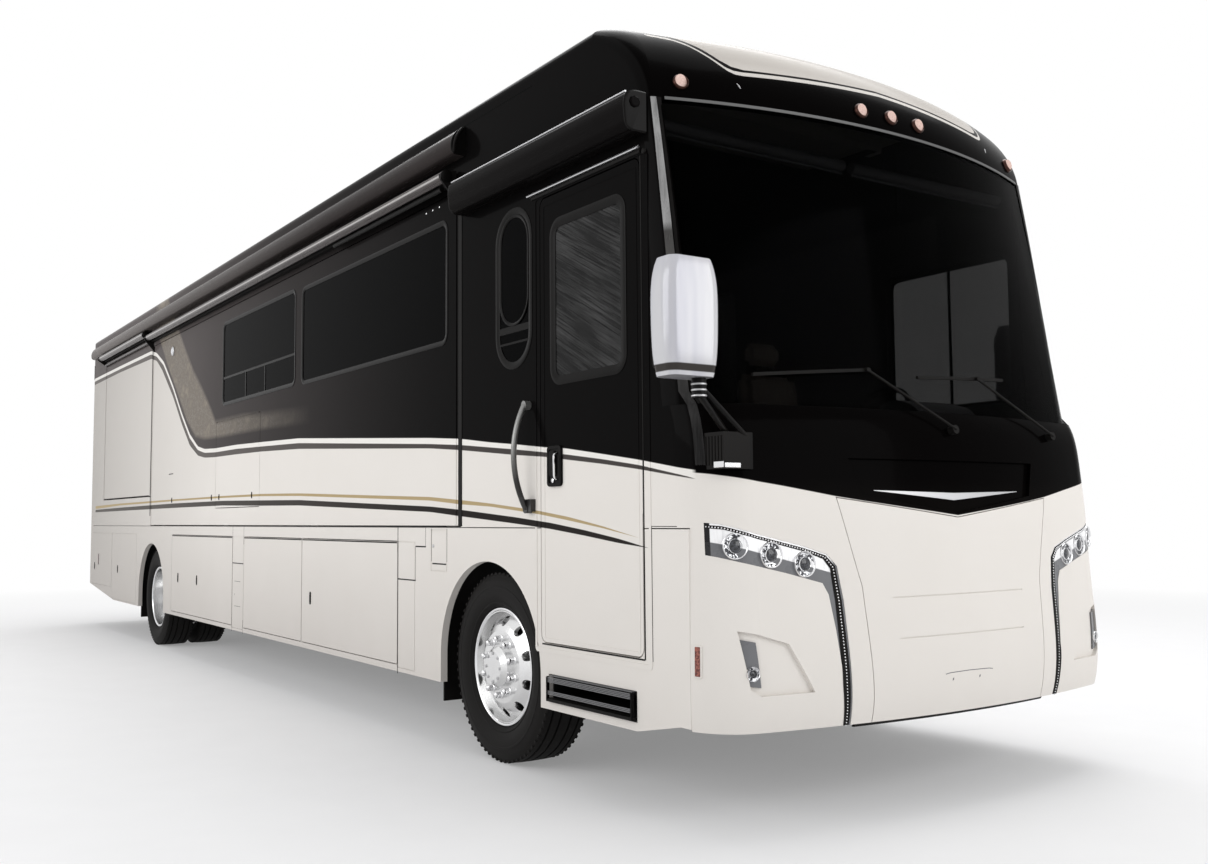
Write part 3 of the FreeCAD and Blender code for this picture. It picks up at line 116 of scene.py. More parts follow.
class Bench:
    """The node tree of one material, or of the world."""

    def __init__(self, name, owner=None):
        self.owner = owner or bpy.data.materials.new(name)
        self.owner.use_nodes = True
        self.tree = self.owner.node_tree
        self.tree.nodes.clear()

    def node(self, kind, settings=None, sockets=None, out=0):
        made = self.tree.nodes.new(kind)
        for key, value in (settings or {}).items():
            if key == "curve":
                line = made.mapping.curves[0]
                while len(line.points) < len(value):
                    line.points.new(0.5, 0.5)
                for dot, place in zip(line.points, value):
                    dot.location, dot.handle_type = place, "VECTOR"
                made.mapping.update()
            else:
                setattr(made, key, value)
        for key, value in (sockets or {}).items():
            if isinstance(value, Wire):
                self.tree.links.new(made.inputs[key], value.socket)
            else:
                made.inputs[key].default_value = value
        return Wire(self, made.outputs[out]) if len(made.outputs) else made

    def mix(self, share, first, second):
        sockets = {0: share, 6: full(first), 7: full(second)}
        return self.node("ShaderNodeMix", {"data_type": "RGBA"}, sockets, out=2)

    def curve(self, along, points, start, end):
        """A line drawn through (place, height) points, read at the place along it."""
        tall, long = LINE_HIGH - LINE_LOW, end - start
        drawn = [((a - start) / long, (v - LINE_LOW) / tall) for a, v in points]
        share = self.node("ShaderNodeFloatCurve", {"curve": drawn}, {"Value": (along - start) / long})
        return share * tall + LINE_LOW

    def specks(self, vector, scale, detail=3.0, roughness=0.55):
        sockets = {"Vector": vector, "Scale": scale, "Detail": detail, "Roughness": roughness}
        return self.node("ShaderNodeTexNoise", sockets=sockets)

    def stretched(self, vector, scale=(1, 1, 1), turn=(0, 0, 0)):
        return self.node("ShaderNodeMapping", sockets={"Vector": vector, "Rotation": turn, "Scale": scale})

    def bump(self, height, strength=0.3, distance=0.001):
        return self.node("ShaderNodeBump", sockets={"Height": height, "Strength": strength, "Distance": distance})

    def seen(self):
        """1 for what the camera, the gloss and the glass see, 0 for the light that is thrown."""
        rays = self.node("ShaderNodeLightPath")
        return (rays["Is Camera Ray"] + rays["Is Glossy Ray"] + rays["Is Transmission Ray"]).least(1)

    def finish(self, colour, roughness=0.5, **other):
        sockets = {"Base Color": full(colour), "Roughness": roughness}
        sockets.update({name.replace("_", " ").title().replace("Ior", "IOR"): value for name, value in other.items()})
        shader = self.node("ShaderNodeBsdfPrincipled", sockets=sockets)
        self.node("ShaderNodeOutputMaterial", sockets={"Surface": shader})
        return self.owner


def new_bench(name):
    """A new material's bench, with x, y and z in the coach's own frame and the whole vector."""
    bench = Bench(name)
    here = bench.node("ShaderNodeTexCoord", out="Object")
    split = bench.node("ShaderNodeSeparateXYZ", sockets={0: here})
    return bench, split["X"], split["Y"], split["Z"], here


def srgb(red, green, blue):
    """A colour as it looks on a screen, 0 to 255, turned to the light it gives."""
    def light(v):
        v = v / 255
        return v / 12.92 if v < 0.04045 else ((v + 0.055) / 1.055) ** 2.4

    return light(red), light(green), light(blue)


print("cream is", [round(v, 3) for v in srgb(228, 224, 220)])

# %% [markdown]
# ## Camera, floor and light
# The camera stands low, off the right front corner, so the flank runs away
# steeply. It is placed with its own three axes, which keeps the small roll.
# The studio is plain: a pale floor, a wide softbox overhead and a white
# surround that the camera, the gloss and the glass see at full white.

# %% Camera
CAMERA_PLACE, LENS_MM, SENSOR_MM, FAR_CLIP = (9.465, -4.190, 1.245), 34.79, 36.0, 300.0
yaw, pitch, roll = [math.radians(v) for v in (145.689, 4.188, -0.481)]
ahead = Vector((math.cos(pitch) * math.cos(yaw), math.cos(pitch) * math.sin(yaw), math.sin(pitch)))
level = Vector((math.sin(yaw), -math.cos(yaw), 0))
upward = level.cross(ahead)
right = level * math.cos(roll) + upward * math.sin(roll)
upward = upward * math.cos(roll) - level * math.sin(roll)
lens = bpy.data.cameras.new("camera")
lens.lens, lens.sensor_width, lens.clip_end = LENS_MM, SENSOR_MM, FAR_CLIP
camera = bpy.data.objects.new("camera", lens)
camera.matrix_world = Matrix((right, upward, -ahead)).transposed().to_4x4()
camera.location = CAMERA_PLACE
scene = bpy.context.scene
scene.collection.objects.link(camera)
scene.camera = camera
scene.view_settings.view_transform = "Standard"
print("camera looks", [round(v, 3) for v in ahead])

# %% A white surround
SURROUND_LIGHT = 0.64
world = bpy.data.worlds.new("studio")
scene.world = world
bench = Bench("studio", world)
lit, shown = [bench.node("ShaderNodeBackground", sockets={"Color": (1, 1, 1, 1), "Strength": strength})
              for strength in (SURROUND_LIGHT, 1.0)]
both = bench.node("ShaderNodeMixShader", sockets={0: bench.seen(), 1: lit, 2: shown})
bench.node("ShaderNodeOutputWorld", sockets={"Surface": both})
print("surround lit at", SURROUND_LIGHT)


# %% Softboxes
def softbox(name, place, aim, width, height, power):
    """A rectangle of light hung at a place and turned to its aim."""
    lamp = bpy.data.lights.new(name, "AREA")
    lamp.shape, lamp.size, lamp.size_y, lamp.energy = "RECTANGLE", width, height, power
    holder = bpy.data.objects.new(name, lamp)
    holder.location = place
    holder.rotation_euler = (Vector(aim) - Vector(place)).to_track_quat("-Z", "Y").to_euler()
    scene.collection.objects.link(holder)


softbox("overhead_softbox", (-1, 2.5, 11), (0, 0, 0), 16, 9, 1350)
softbox("flank_softbox", (1, -13, 6), (0, -1, 1.4), 16, 6, 640)
softbox("front_softbox", (15, 3, 5), (5, 0, 1.6), 8, 6, 420)
print("three softboxes hung")

# %% The floor
FLOOR_R, FADE_R, FADE, GLOW, GLOW_FAR = 60, 9.8, 4.4, 0.24, 0.76
bench, x, y, _, here = new_bench("pale_floor")
far = (x * x + y * y).power(0.5).above(FADE_R, FADE)
pale = bench.mix(bench.specks(here, 3.0), (0.74, 0.74, 0.75), (0.78, 0.78, 0.79))
dull = bench.node("ShaderNodeBsdfDiffuse", sockets={"Color": pale})
white = bench.node("ShaderNodeEmission", sockets={"Strength": 1.0})
surface = bench.node("ShaderNodeMixShader", sockets={0: (far * GLOW_FAR + GLOW) * bench.seen(), 1: dull, 2: white})
bench.node("ShaderNodeOutputMaterial", sockets={"Surface": surface})
mesh = bmesh.new()
bmesh.ops.create_circle(mesh, cap_ends=True, segments=96, radius=FLOOR_R)
floor_mesh = bpy.data.meshes.new("studio_floor")
mesh.to_mesh(floor_mesh)
mesh.free()
floor = bpy.data.objects.new("studio_floor", floor_mesh)
floor_mesh.materials.append(bench.owner)
scene.collection.objects.link(floor)
floor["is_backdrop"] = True
print("floor laid")

# %% [markdown]
# ## Coach paint
# The body is one long painted picture: black at the front, a warm grey at the
# back, cream below, and stripes that sweep down over the baggage doors. A real
# shop masks the lines with tape over every panel at once, so one material
# covers all the panels, and reads its lines from where a point is on the coach.
# The lines are lists of points along the coach, each with its height.

# %% The masking lines, as (place along the coach, height)
WHITE_TOP = [(-6.06, 3.016), (-4.60, 3.016), (-3.13, 3.010), (-2.90, 2.962), (-2.61, 2.838), (-2.22, 2.553),
             (-1.90, 2.275), (-1.60, 2.049), (-1.32, 1.918), (-1.10, 1.882), (-0.76, 1.870), (-0.18, 1.868),
             (0.46, 1.853), (1.31, 1.831), (3.45, 1.703), (3.83, 1.675), (4.16, 1.637), (4.43, 1.611),
             (4.72, 1.580), (4.88, 1.568), (5.19, 1.526), (5.47, 1.487), (5.78, 1.437), (5.86, 1.425)]
DARK_TOP = [(-6.05, 2.982), (-4.60, 2.982), (-3.13, 2.976), (-2.90, 2.924), (-2.61, 2.800), (-2.22, 2.515),
            (-1.90, 2.237), (-1.60, 2.011), (-1.32, 1.884), (-1.10, 1.848), (-0.76, 1.836), (-0.18, 1.834),
            (0.46, 1.819), (1.31, 1.797), (3.45, 1.669), (3.83, 1.642), (4.43, 1.586), (4.88, 1.540),
            (5.19, 1.503), (5.47, 1.465), (5.78, 1.409), (5.83, 1.393)]
DARK_LOW = [(-6.05, 2.938), (-4.60, 2.944), (-3.12, 2.928), (-2.89, 2.879), (-2.66, 2.756), (-2.21, 2.440),
            (-1.89, 2.165), (-1.59, 1.941), (-1.31, 1.833), (-1.09, 1.804), (-0.76, 1.794), (-0.17, 1.789),
            (0.46, 1.779), (1.31, 1.755), (3.45, 1.644), (3.83, 1.614), (4.43, 1.558), (4.72, 1.535),
            (4.87, 1.517), (5.19, 1.482), (5.47, 1.447), (5.78, 1.402), (5.83, 1.393)]
GOLD_TOP = [(-5.79, 1.434), (-4.45, 1.447), (-2.14, 1.453), (-0.54, 1.454), (0.47, 1.450), (1.32, 1.436),
            (3.45, 1.369), (3.83, 1.345), (4.16, 1.322), (4.62, 1.282), (4.90, 1.250), (5.18, 1.208), (5.46, 1.158)]
GOLD_LOW = [(-5.79, 1.400), (-4.45, 1.425), (-2.14, 1.436), (-0.54, 1.437), (0.47, 1.432), (1.32, 1.417),
            (3.45, 1.349), (3.83, 1.322), (4.16, 1.306), (4.62, 1.266), (4.90, 1.234), (5.18, 1.199), (5.46, 1.158)]
SWEEP_TOP = [(-5.79, 1.389), (-4.44, 1.401), (-2.14, 1.414), (-0.54, 1.413), (0.47, 1.400), (1.33, 1.388),
             (3.46, 1.315), (3.83, 1.293), (4.42, 1.250), (4.75, 1.222), (5.04, 1.189), (5.31, 1.153), (5.53, 1.116)]
SWEEP_LOW = [(-5.79, 1.359), (-4.44, 1.364), (-2.14, 1.371), (-0.53, 1.373), (0.48, 1.358), (1.33, 1.349),
             (3.46, 1.284), (3.83, 1.258), (4.42, 1.218), (4.75, 1.193), (5.04, 1.164), (5.31, 1.134), (5.53, 1.116)]
STONE_LOW = [(-2.68, 2.993), (-2.45, 2.787), (-2.01, 2.435), (-1.70, 2.177), (-1.41, 2.018), (-1.10, 1.975),
             (-0.56, 1.965), (0.44, 1.958), (1.64, 1.930)]
STONE_HIGH = [(-2.68, 3.62), (-1.85, 2.902), (-1.50, 2.616), (-1.22, 2.438), (-0.95, 2.242), (-0.77, 2.097),
              (0.00, 2.097), (0.45, 2.073), (1.64, 2.030)]
BROW_EDGE = [(0.0, 3.284), (0.22, 3.272), (0.45, 3.260), (0.628, 3.249), (0.785, 3.241), (0.84, 3.252), (0.88, 3.286),
             (0.932, 3.366), (0.986, 3.436), (1.05, 3.456), (1.10, 3.470), (1.16, 3.53), (1.285, 3.62)]
BROW_STRIPE = [(0.0, 3.260), (0.24, 3.248), (0.45, 3.236), (0.64, 3.225), (0.80, 3.215), (0.84, 3.217),
               (0.87, 3.232), (0.893, 3.258), (0.925, 3.303), (0.952, 3.340), (0.98, 3.377), (1.02, 3.408),
               (1.11, 3.430), (1.285, 3.440)]
VEE = [(0.0, 1.242), (0.31, 1.277), (0.555, 1.306), (0.70, 1.325), (0.94, 1.365), (1.05, 1.382), (1.20, 1.408),
       (1.285, 1.425)]

CREAM, NIGHT, INNER_SHADE_GREY = srgb(230, 226, 221), srgb(13, 12, 12), srgb(66, 63, 61)
TAUPE, STONE = srgb(98, 92, 91), srgb(150, 142, 130)
GOLD, CHARCOAL = srgb(176, 157, 120), srgb(72, 68, 66)
print("masking lines ready, the longest with", len(WHITE_TOP), "points")


# %% The paint itself
def painted(name, room=False):
    """The whole scheme on one bench, with a flat dark grey on the inner faces as painted shade; a slide-out room is
    painted on its sides too.
    """
    bench, x, y, z, here = new_bench(name)
    out = abs(y)

    def line(points, soft=0.0015):
        return z.above(bench.curve(x, points, -6.2, 6.2), soft)

    def across(points):
        return bench.curve(out, points, 0.0, 1.3)

    def stripe(top, low, end):
        return (line(low, 0.001) - line(top, 0.001)).most(0) * begun * x.below(end)

    nose, begun = out.below(1.262, 0.004) * x.above(4.6), x.above(-5.79, 0.004)
    aft = x.below(0.6, 3.2)
    deep = bench.mix(aft.power(1.6), NIGHT, TAUPE)
    deep = bench.mix(bench.specks(here, 0.8, 4.0) * 0.25, deep, (0.004, 0.004, 0.004))
    mottle = bench.specks(bench.stretched(here, (1, 1, 1.4)), 4.5, 7.0, 0.68)
    stone = bench.mix(mottle.between(0.42, 0.62, 0.09), STONE, srgb(120, 113, 105))
    veins = abs(mottle - 0.52).below(0.012, 0.012)
    stone = bench.mix(veins * 0.45, stone, srgb(176, 170, 160))
    band = line(STONE_LOW, 0.02) * (1 - line(STONE_HIGH, 0.03)) * x.below(0.35, 1.2) * x.above(-2.9, 0.1)
    deep = bench.mix(band * 0.85, deep, stone)
    cream = bench.mix(bench.specks(here, 1.7, 5.0) * 0.5, CREAM, srgb(222, 217, 210))
    # Painted shade on the cream: it is darker towards the back, darker low down, and darker on top of the brow.
    cream = bench.mix(x.below(-3.4, 2.8) * 0.85, cream, srgb(173, 169, 164))
    cream = bench.mix(z.below(0.85, 0.5) * x.below(4.4, 2.5) * 0.58, cream, srgb(190, 185, 181))
    cream = bench.mix(z.above(3.20, 0.1), cream, srgb(184, 179, 173))
    flank = bench.mix(line(DARK_LOW), cream, bench.mix(aft, CHARCOAL, srgb(108, 103, 100)))
    flank = bench.mix(line(DARK_TOP), flank, srgb(236, 233, 228))
    flank = bench.mix(line(WHITE_TOP), flank, deep)
    flank = bench.mix(stripe(GOLD_TOP, GOLD_LOW, 5.455), flank, GOLD)
    sweep = bench.mix(aft, srgb(40, 37, 36), srgb(88, 84, 80))
    flank = bench.mix(stripe(SWEEP_TOP, SWEEP_LOW, 5.525), flank, sweep)
    flank = bench.mix(z.between(3.383, 3.392) * x.below(4.6), flank, (0.002, 0.002, 0.002))
    front = bench.mix(z.above(across(VEE), 0.0015), cream, srgb(5, 4, 4))
    paint = bench.mix(nose, flank, front)
    fore = x.above(4.2, 0.01)
    brow = (z - across(BROW_STRIPE)).between(-0.011, 0.010, 0.0012) * fore * out.below(1.115) * nose
    paint = bench.mix(brow, paint, srgb(206, 202, 197))
    crown = z.above(3.434) * out.below(1.12, 0.004) * x.below(4.9)
    over = (z - across(BROW_EDGE)).above(0.0, 0.0012) * fore
    paint = bench.mix(over.most(crown) * z.above(3.1), paint, cream)
    if not room:
        # The inner faces, such as the wheel-arch returns and the walls seen through the windows, get a flat dark grey:
        # painted shade.
        inner_shade = out.below(1.241) * z.below(3.0) * x.above(-5.9) * x.below(5.0)
        paint = bench.mix(inner_shade, paint, INNER_SHADE_GREY)
    ripple = bench.specks(here, 26.0, 2.0)
    grime = bench.specks(here, 2.6, 6.0) * z.below(0.9, 0.5)
    paint = bench.mix(grime * 0.10, paint, srgb(150, 142, 132))
    gloss = ripple * 0.05 + grime * 0.12 + 0.16
    return bench.finish(paint, gloss, normal=bench.bump(ripple, 0.03, 0.002), specular_ior_level=0.004,
                        coat_weight=0.03 - nose * 0.024, coat_roughness=0.04)


body_paint = painted("coach_paint")
room_paint = painted("room_paint", room=True)
print("paint mixed with", len(body_paint.node_tree.nodes), "nodes")

# %% [markdown]
# ## Other finishes
# Each finish is a short bench of its own. Numbers that are the same all over
# sit on the shader's sockets. What varies, such as brushing, dust and grain,
# is drawn with noise in the coach's own frame, at the size it has in life.

# %% Glass, lamps and bright metal
def tinted_glass(name, tint, clear, specular=0.03, streaks=False, driver=0.0):
    """Dark safety glass, see-through by its alpha; driver clears the driver's own window."""
    bench, x, y, _, here = new_bench(name)
    film = bench.specks(here, 1.2, 3.0)
    colour = bench.mix(film, tint, tuple(v * 1.6 for v in tint))
    if streaks:
        leaned = bench.stretched(here, turn=(0, math.radians(-27), 0))
        drawn = bench.specks(bench.stretched(leaned, (1.6, 1, 60)), 2.0, 5.0, 0.72)
        patch = bench.specks(bench.stretched(leaned, (1, 1, 3.5)), 2.4, 2.0)
        colour = bench.mix(drawn.above(0.50, 0.10) * patch.above(0.46, 0.16) * 0.5, colour, srgb(96, 96, 96))
    seen = 1 - clear - x.above(3.5) * y.above(0) * driver if driver else 1 - clear
    return bench.finish(colour, film * 0.03 + 0.02, alpha=seen, specular_ior_level=specular)


def bright_metal(name, colour, roughness, brush=0.0, scale=(1, 1, 1)):
    """Plated, polished or brushed metal; brush and scale draw the marks of the wheel."""
    bench, *_, here = new_bench(name)
    rub = bench.specks(bench.stretched(here, scale), 60.0, 4.0)
    cloud = bench.specks(here, 9.0, 3.0)
    tone = bench.mix(cloud * 0.5, colour, tuple(v * 0.86 for v in colour))
    return bench.finish(tone, rub * brush + cloud * 0.04 + roughness, metallic=1.0,
                        normal=bench.bump(rub, 0.04 + brush, 0.0006))


def moulded(name, colour, roughness, grain=220.0, depth=0.12, dust=0.12, specular=0.35):
    """Black or grey plastic and rubber, with a fine moulded grain and a trace of dust."""
    bench, *_, here = new_bench(name)
    fine, broad = bench.specks(here, grain, 3.0), bench.specks(here, 5.0, 4.0)
    tone = bench.mix(broad * dust, colour, srgb(112, 108, 103))
    return bench.finish(tone, broad * 0.14 + roughness, normal=bench.bump(fine, depth, 0.0006),
                        specular_ior_level=specular)



windshield_glass = tinted_glass("windshield_glass", (0.0003, 0.0003, 0.0003), 0.40, 0.006)
window_glass = tinted_glass("window_glass", (0.0012, 0.0012, 0.0013), 0.05, 0.007, driver=0.34)
door_glass = tinted_glass("door_glass", (0.010, 0.010, 0.010), 0.06, streaks=True)
chrome = bright_metal("chrome", (0.80, 0.80, 0.81), 0.06, 0.03)
polished_alloy = bright_metal("polished_alloy", (0.78, 0.78, 0.78), 0.17, 0.08)
satin_metal = bright_metal("satin_metal", (0.52, 0.52, 0.53), 0.33, 0.14, (1, 14, 14))
black_trim = moulded("black_trim", srgb(14, 13, 13), 0.42, dust=0.05, specular=0.06)
gloss_trim = moulded("gloss_trim", srgb(11, 10, 10), 0.16, 40.0, 0.02, 0.03, 0.05)
frame_paint = moulded("frame_paint", srgb(26, 26, 27), 0.55, 60.0, 0.2, 0.35)
engine_paint = moulded("engine_paint", srgb(104, 106, 108), 0.5, 60.0, 0.2, 0.25)
basement_sheet = moulded("basement_sheet", srgb(150, 150, 150), 0.45, 90.0, 0.1, 0.15)
tyre_rubber = moulded("tyre_rubber", srgb(15, 14, 14), 0.62, 260.0, 0.2, 0.05, 0.12)
grey_moulding = moulded("grey_moulding", srgb(108, 108, 110), 0.35, 180.0, 0.05, 0.05)
print("plain finishes mixed")

# %% The frame's own pieces get their finishes
def dress(finish, *names):
    for name in names:
        nodes[name].data.materials.clear()
        nodes[name].data.materials.append(finish)


dress(body_paint, "front_cap", "front_fascia", "front_panel", "left_skirt", "left_wall", "rear_cap", "right_skirt",
      "right_wall", "roof", "engine_door", "entry_door", "tv_door", "air_conditioners",
      *[name for name in nodes if name.startswith("bay_door")])
dress(room_paint, "front_slide", "rear_slide")
dress(windshield_glass, "windshield")
dress(window_glass, "side_glass", "front_slide_glass")
dress(door_glass, "entry_door_glass")
dress(black_trim, "valance", "wheel_liners", "wipers", "dashboard", "steering_wheel", "entry_step", "awnings",
      "front_topper", "rear_topper", "front_seats")
dress(chrome, "front_lamps", "tail_lamps", "grab_handle", "mirrors")
dress(polished_alloy, "front_rim_right", "front_rim_left", "rear_rims_right", "rear_rims_left")
dress(frame_paint, "chassis_frame", "front_axle", "rear_axle", "right_knuckle", "left_knuckle", "tie_rod")
dress(engine_paint, "engine")
dress(basement_sheet, "basement", "floor")
dress(tyre_rubber, "front_tyre_right", "front_tyre_left", "rear_tyres_right", "rear_tyres_left")
print("frame dressed in", len({m for o in nodes.values() for m in o.data.materials}), "finishes")

# %% [markdown]
# ## Hands for the mesh work
# The small fittings are all made from a few moves: a block with eased edges,
# a turned ring, a bent rod, and a plate cut to an outline. Each move adds to
# one open bmesh, so a fitting of twenty bits is still one piece, and `fit`
# closes it, finishes it and puts it on the body that carries it.

# %% Turned, bent and cut shapes
def fit(name, mesh, finish, **where):
    """A bmesh becomes a finished piece that rides on its body, its faces in a fixed order."""
    bmesh.ops.remove_doubles(mesh, verts=mesh.verts, dist=1e-6)
    bmesh.ops.recalc_face_normals(mesh, faces=mesh.faces)
    mesh.verts.index_update()
    count = len(mesh.verts)

    def rank(face):
        first, second, third = sorted(v.index for v in face.verts)[:3]
        return (first * count + second) * count + third

    mesh.faces.sort(key=rank)
    return settle(name, to_data(name, mesh), finish, **where)


def to_data(name, mesh):
    """The open bmesh as plain mesh data."""
    data = bpy.data.meshes.new(name)
    mesh.to_mesh(data)
    mesh.free()
    return data


def settle(name, data, finish, body="coach", slot="trim_black", angle=35):
    """Mesh data in its finish, with edges sharper than the angle kept, set on its body."""
    data.materials.clear()
    data.materials.append(finish)
    data.polygons.foreach_set("use_smooth", [True] * len(data.polygons))
    data.set_sharp_from_angle(angle=math.radians(angle))
    piece = bpy.data.objects.new(name, data)
    scene.collection.objects.link(piece)
    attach(piece, body)
    return piece


def work(*moves):
    """A bmesh made by moves, each a function and what it needs after the mesh."""
    mesh = bmesh.new()
    for move, *needs in moves:
        move(mesh, *needs)
    return mesh


def build(name, finish, *moves, **where):
    """One piece from its moves."""
    return fit(name, work(*moves), finish, **where)


def skin(mesh, rows, closed=True, capped=True):
    """Faces between neighbouring rows of points, each row a ring."""
    made = [[mesh.verts.new(p) for p in row] for row in rows]
    for a, b in list(zip(made, made[1:])) + ([] if capped else [(made[-1], made[0])]):
        count = len(a)
        for k in range(count if closed else count - 1):
            n = (k + 1) % count
            mesh.faces.new((a[k], a[n], b[n], b[k]))
    if capped:
        mesh.faces.new(made[0])
        mesh.faces.new(made[-1])


def block(mesh, low, high, ease=0.0, cuts=2):
    """A box between two corners with eased edges."""
    low, high = Vector(low), Vector(high)
    place = Matrix.Translation((low + high) / 2) @ Matrix.Diagonal((*[max(abs(v), 1e-5) for v in high - low], 1))
    made = bmesh.ops.create_cube(mesh, size=1, matrix=place)["verts"]
    if ease:
        edges = list(dict.fromkeys(e for v in made for e in v.link_edges))
        bmesh.ops.bevel(mesh, geom=edges, offset=ease, segments=cuts, affect="EDGES", clamp_overlap=True)


def round_points(axis, first, radius, sides, centre):
    """Points of a circle about the axis, from its first direction round."""
    other = axis.cross(first)
    return [centre + (first * math.cos(t) + other * math.sin(t)) * radius
            for t in (2 * math.pi * k / sides for k in range(sides))]


def turned(mesh, profile, centre, axis=(0, -1, 0), sides=32, ring=False):
    """(radius, distance along the axis) points spun round the axis; a ring's profile closes on itself."""
    axis, centre = Vector(axis).normalized(), Vector(centre)
    across = axis.orthogonal().normalized()
    rows = [round_points(axis, across, max(r, 1e-5), sides, centre + axis * d) for r, d in profile]
    skin(mesh, rows, True, not ring)


def rod(mesh, points, radius, sides=10):
    """A round bar through points; radius may be one number or one for each point."""
    points = [Vector(p) for p in points]
    radii = radius if isinstance(radius, (list, tuple)) else [radius] * len(points)
    rows, side = [], None
    for k, point in enumerate(points):
        ahead = (points[min(k + 1, len(points) - 1)] - points[max(k - 1, 0)]).normalized()
        side = ahead.orthogonal() if side is None else side - ahead * side.dot(ahead)
        side = side.normalized()
        rows.append(round_points(ahead, side, radii[k], sides, point))
    skin(mesh, rows)


def bent(points, turn=0.02, steps=5):
    """The same path with each corner rounded."""
    points = [Vector(p) for p in points]
    path = [points[0]]
    for before, corner, after in zip(points, points[1:], points[2:]):
        a, b = [corner + (end - corner).normalized() * min(turn, (end - corner).length * 0.45)
                for end in (before, after)]
        for k in range(steps + 1):
            t = k / steps
            path.append((a * (1 - t) + corner * t) * (1 - t) + (corner * (1 - t) + b * t) * t)
    return path + [points[-1]]


def rounded(u0, u1, v0, v1, radius, steps=6):
    """The outline of a rectangle with round corners."""
    corners = [(u1 - radius, v1 - radius, 0), (u0 + radius, v1 - radius, 90), (u0 + radius, v0 + radius, 180),
               (u1 - radius, v0 + radius, 270)]
    turns = [(u, v, math.radians(start + 90 * k / steps)) for u, v, start in corners for k in range(steps + 1)]
    return [(u + radius * math.cos(t), v + radius * math.sin(t)) for u, v, t in turns]


def plate(mesh, outline, place, low, high):
    """An outline cut from sheet between two depths; place puts (u, v, depth) on the coach."""
    skin(mesh, [[place(u, v, d) for u, v in outline] for d in (low, high)])


def frame_ring(mesh, outer, inner, place, low, high):
    """A flat ring between two outlines with the same number of points."""
    skin(mesh, [[place(u, v, d) for u, v in line] for line, d in
                ((outer, low), (outer, high), (inner, high), (inner, low))], True, False)


HALF = 1.2825
SIDES = (("right", -1), ("left", 1))


def flank(side=-1, stand=0.0):
    """Puts (x, z, depth outwards) on a side of the coach."""
    return lambda u, v, d: Vector((u, side * (HALF + stand + d), v))


def bar(mesh, x0, x1, z0, z1, proud, ease, cuts=2, sunk=0.001):
    """A block on the right flank that stands proud of the skin and is sunk into it."""
    block(mesh, (x0, -HALF - proud, z0), (x1, -HALF + sunk, z1), ease, cuts)


print("moves ready, half width", HALF)


# %% Feeling for a surface
felt = {}


def touch(names, start, towards):
    """Where a straight line from start first meets one of the frame's nodes, and the way out of it there."""
    towards, best = Vector(towards), (None, None, math.inf)
    for name in names:
        if name not in felt:
            data = nodes[name].data
            felt[name] = BVHTree.FromPolygons([v.co for v in data.vertices], [p.vertices for p in data.polygons])
        hit, out, _, reach = felt[name].ray_cast(Vector(start), towards)
        if hit and reach < best[2]:
            best = (hit, out if out.dot(towards) < 0 else -out, reach)
    return best[:2]


def nose(y, z, names=("front_fascia", "front_panel", "front_lamps", "front_cap", "windshield")):
    """The point on the front of the coach at y and z, and the way out of it there."""
    return touch(names, (8, y, z), (-1, 0, 0))


print("nose at knee height", round(nose(0.3, 0.9)[0].x, 3))

# %% [markdown]
# ## A press for repeats
# Nuts, screws, slats and studs repeat by a rule, so Geometry Nodes set them
# out. One tree rings a small shape round an axle, another rows it along a
# line, and a third spaces it along a path. Each ends as real mesh in its
# finish, because the hand-over file keeps no instances.

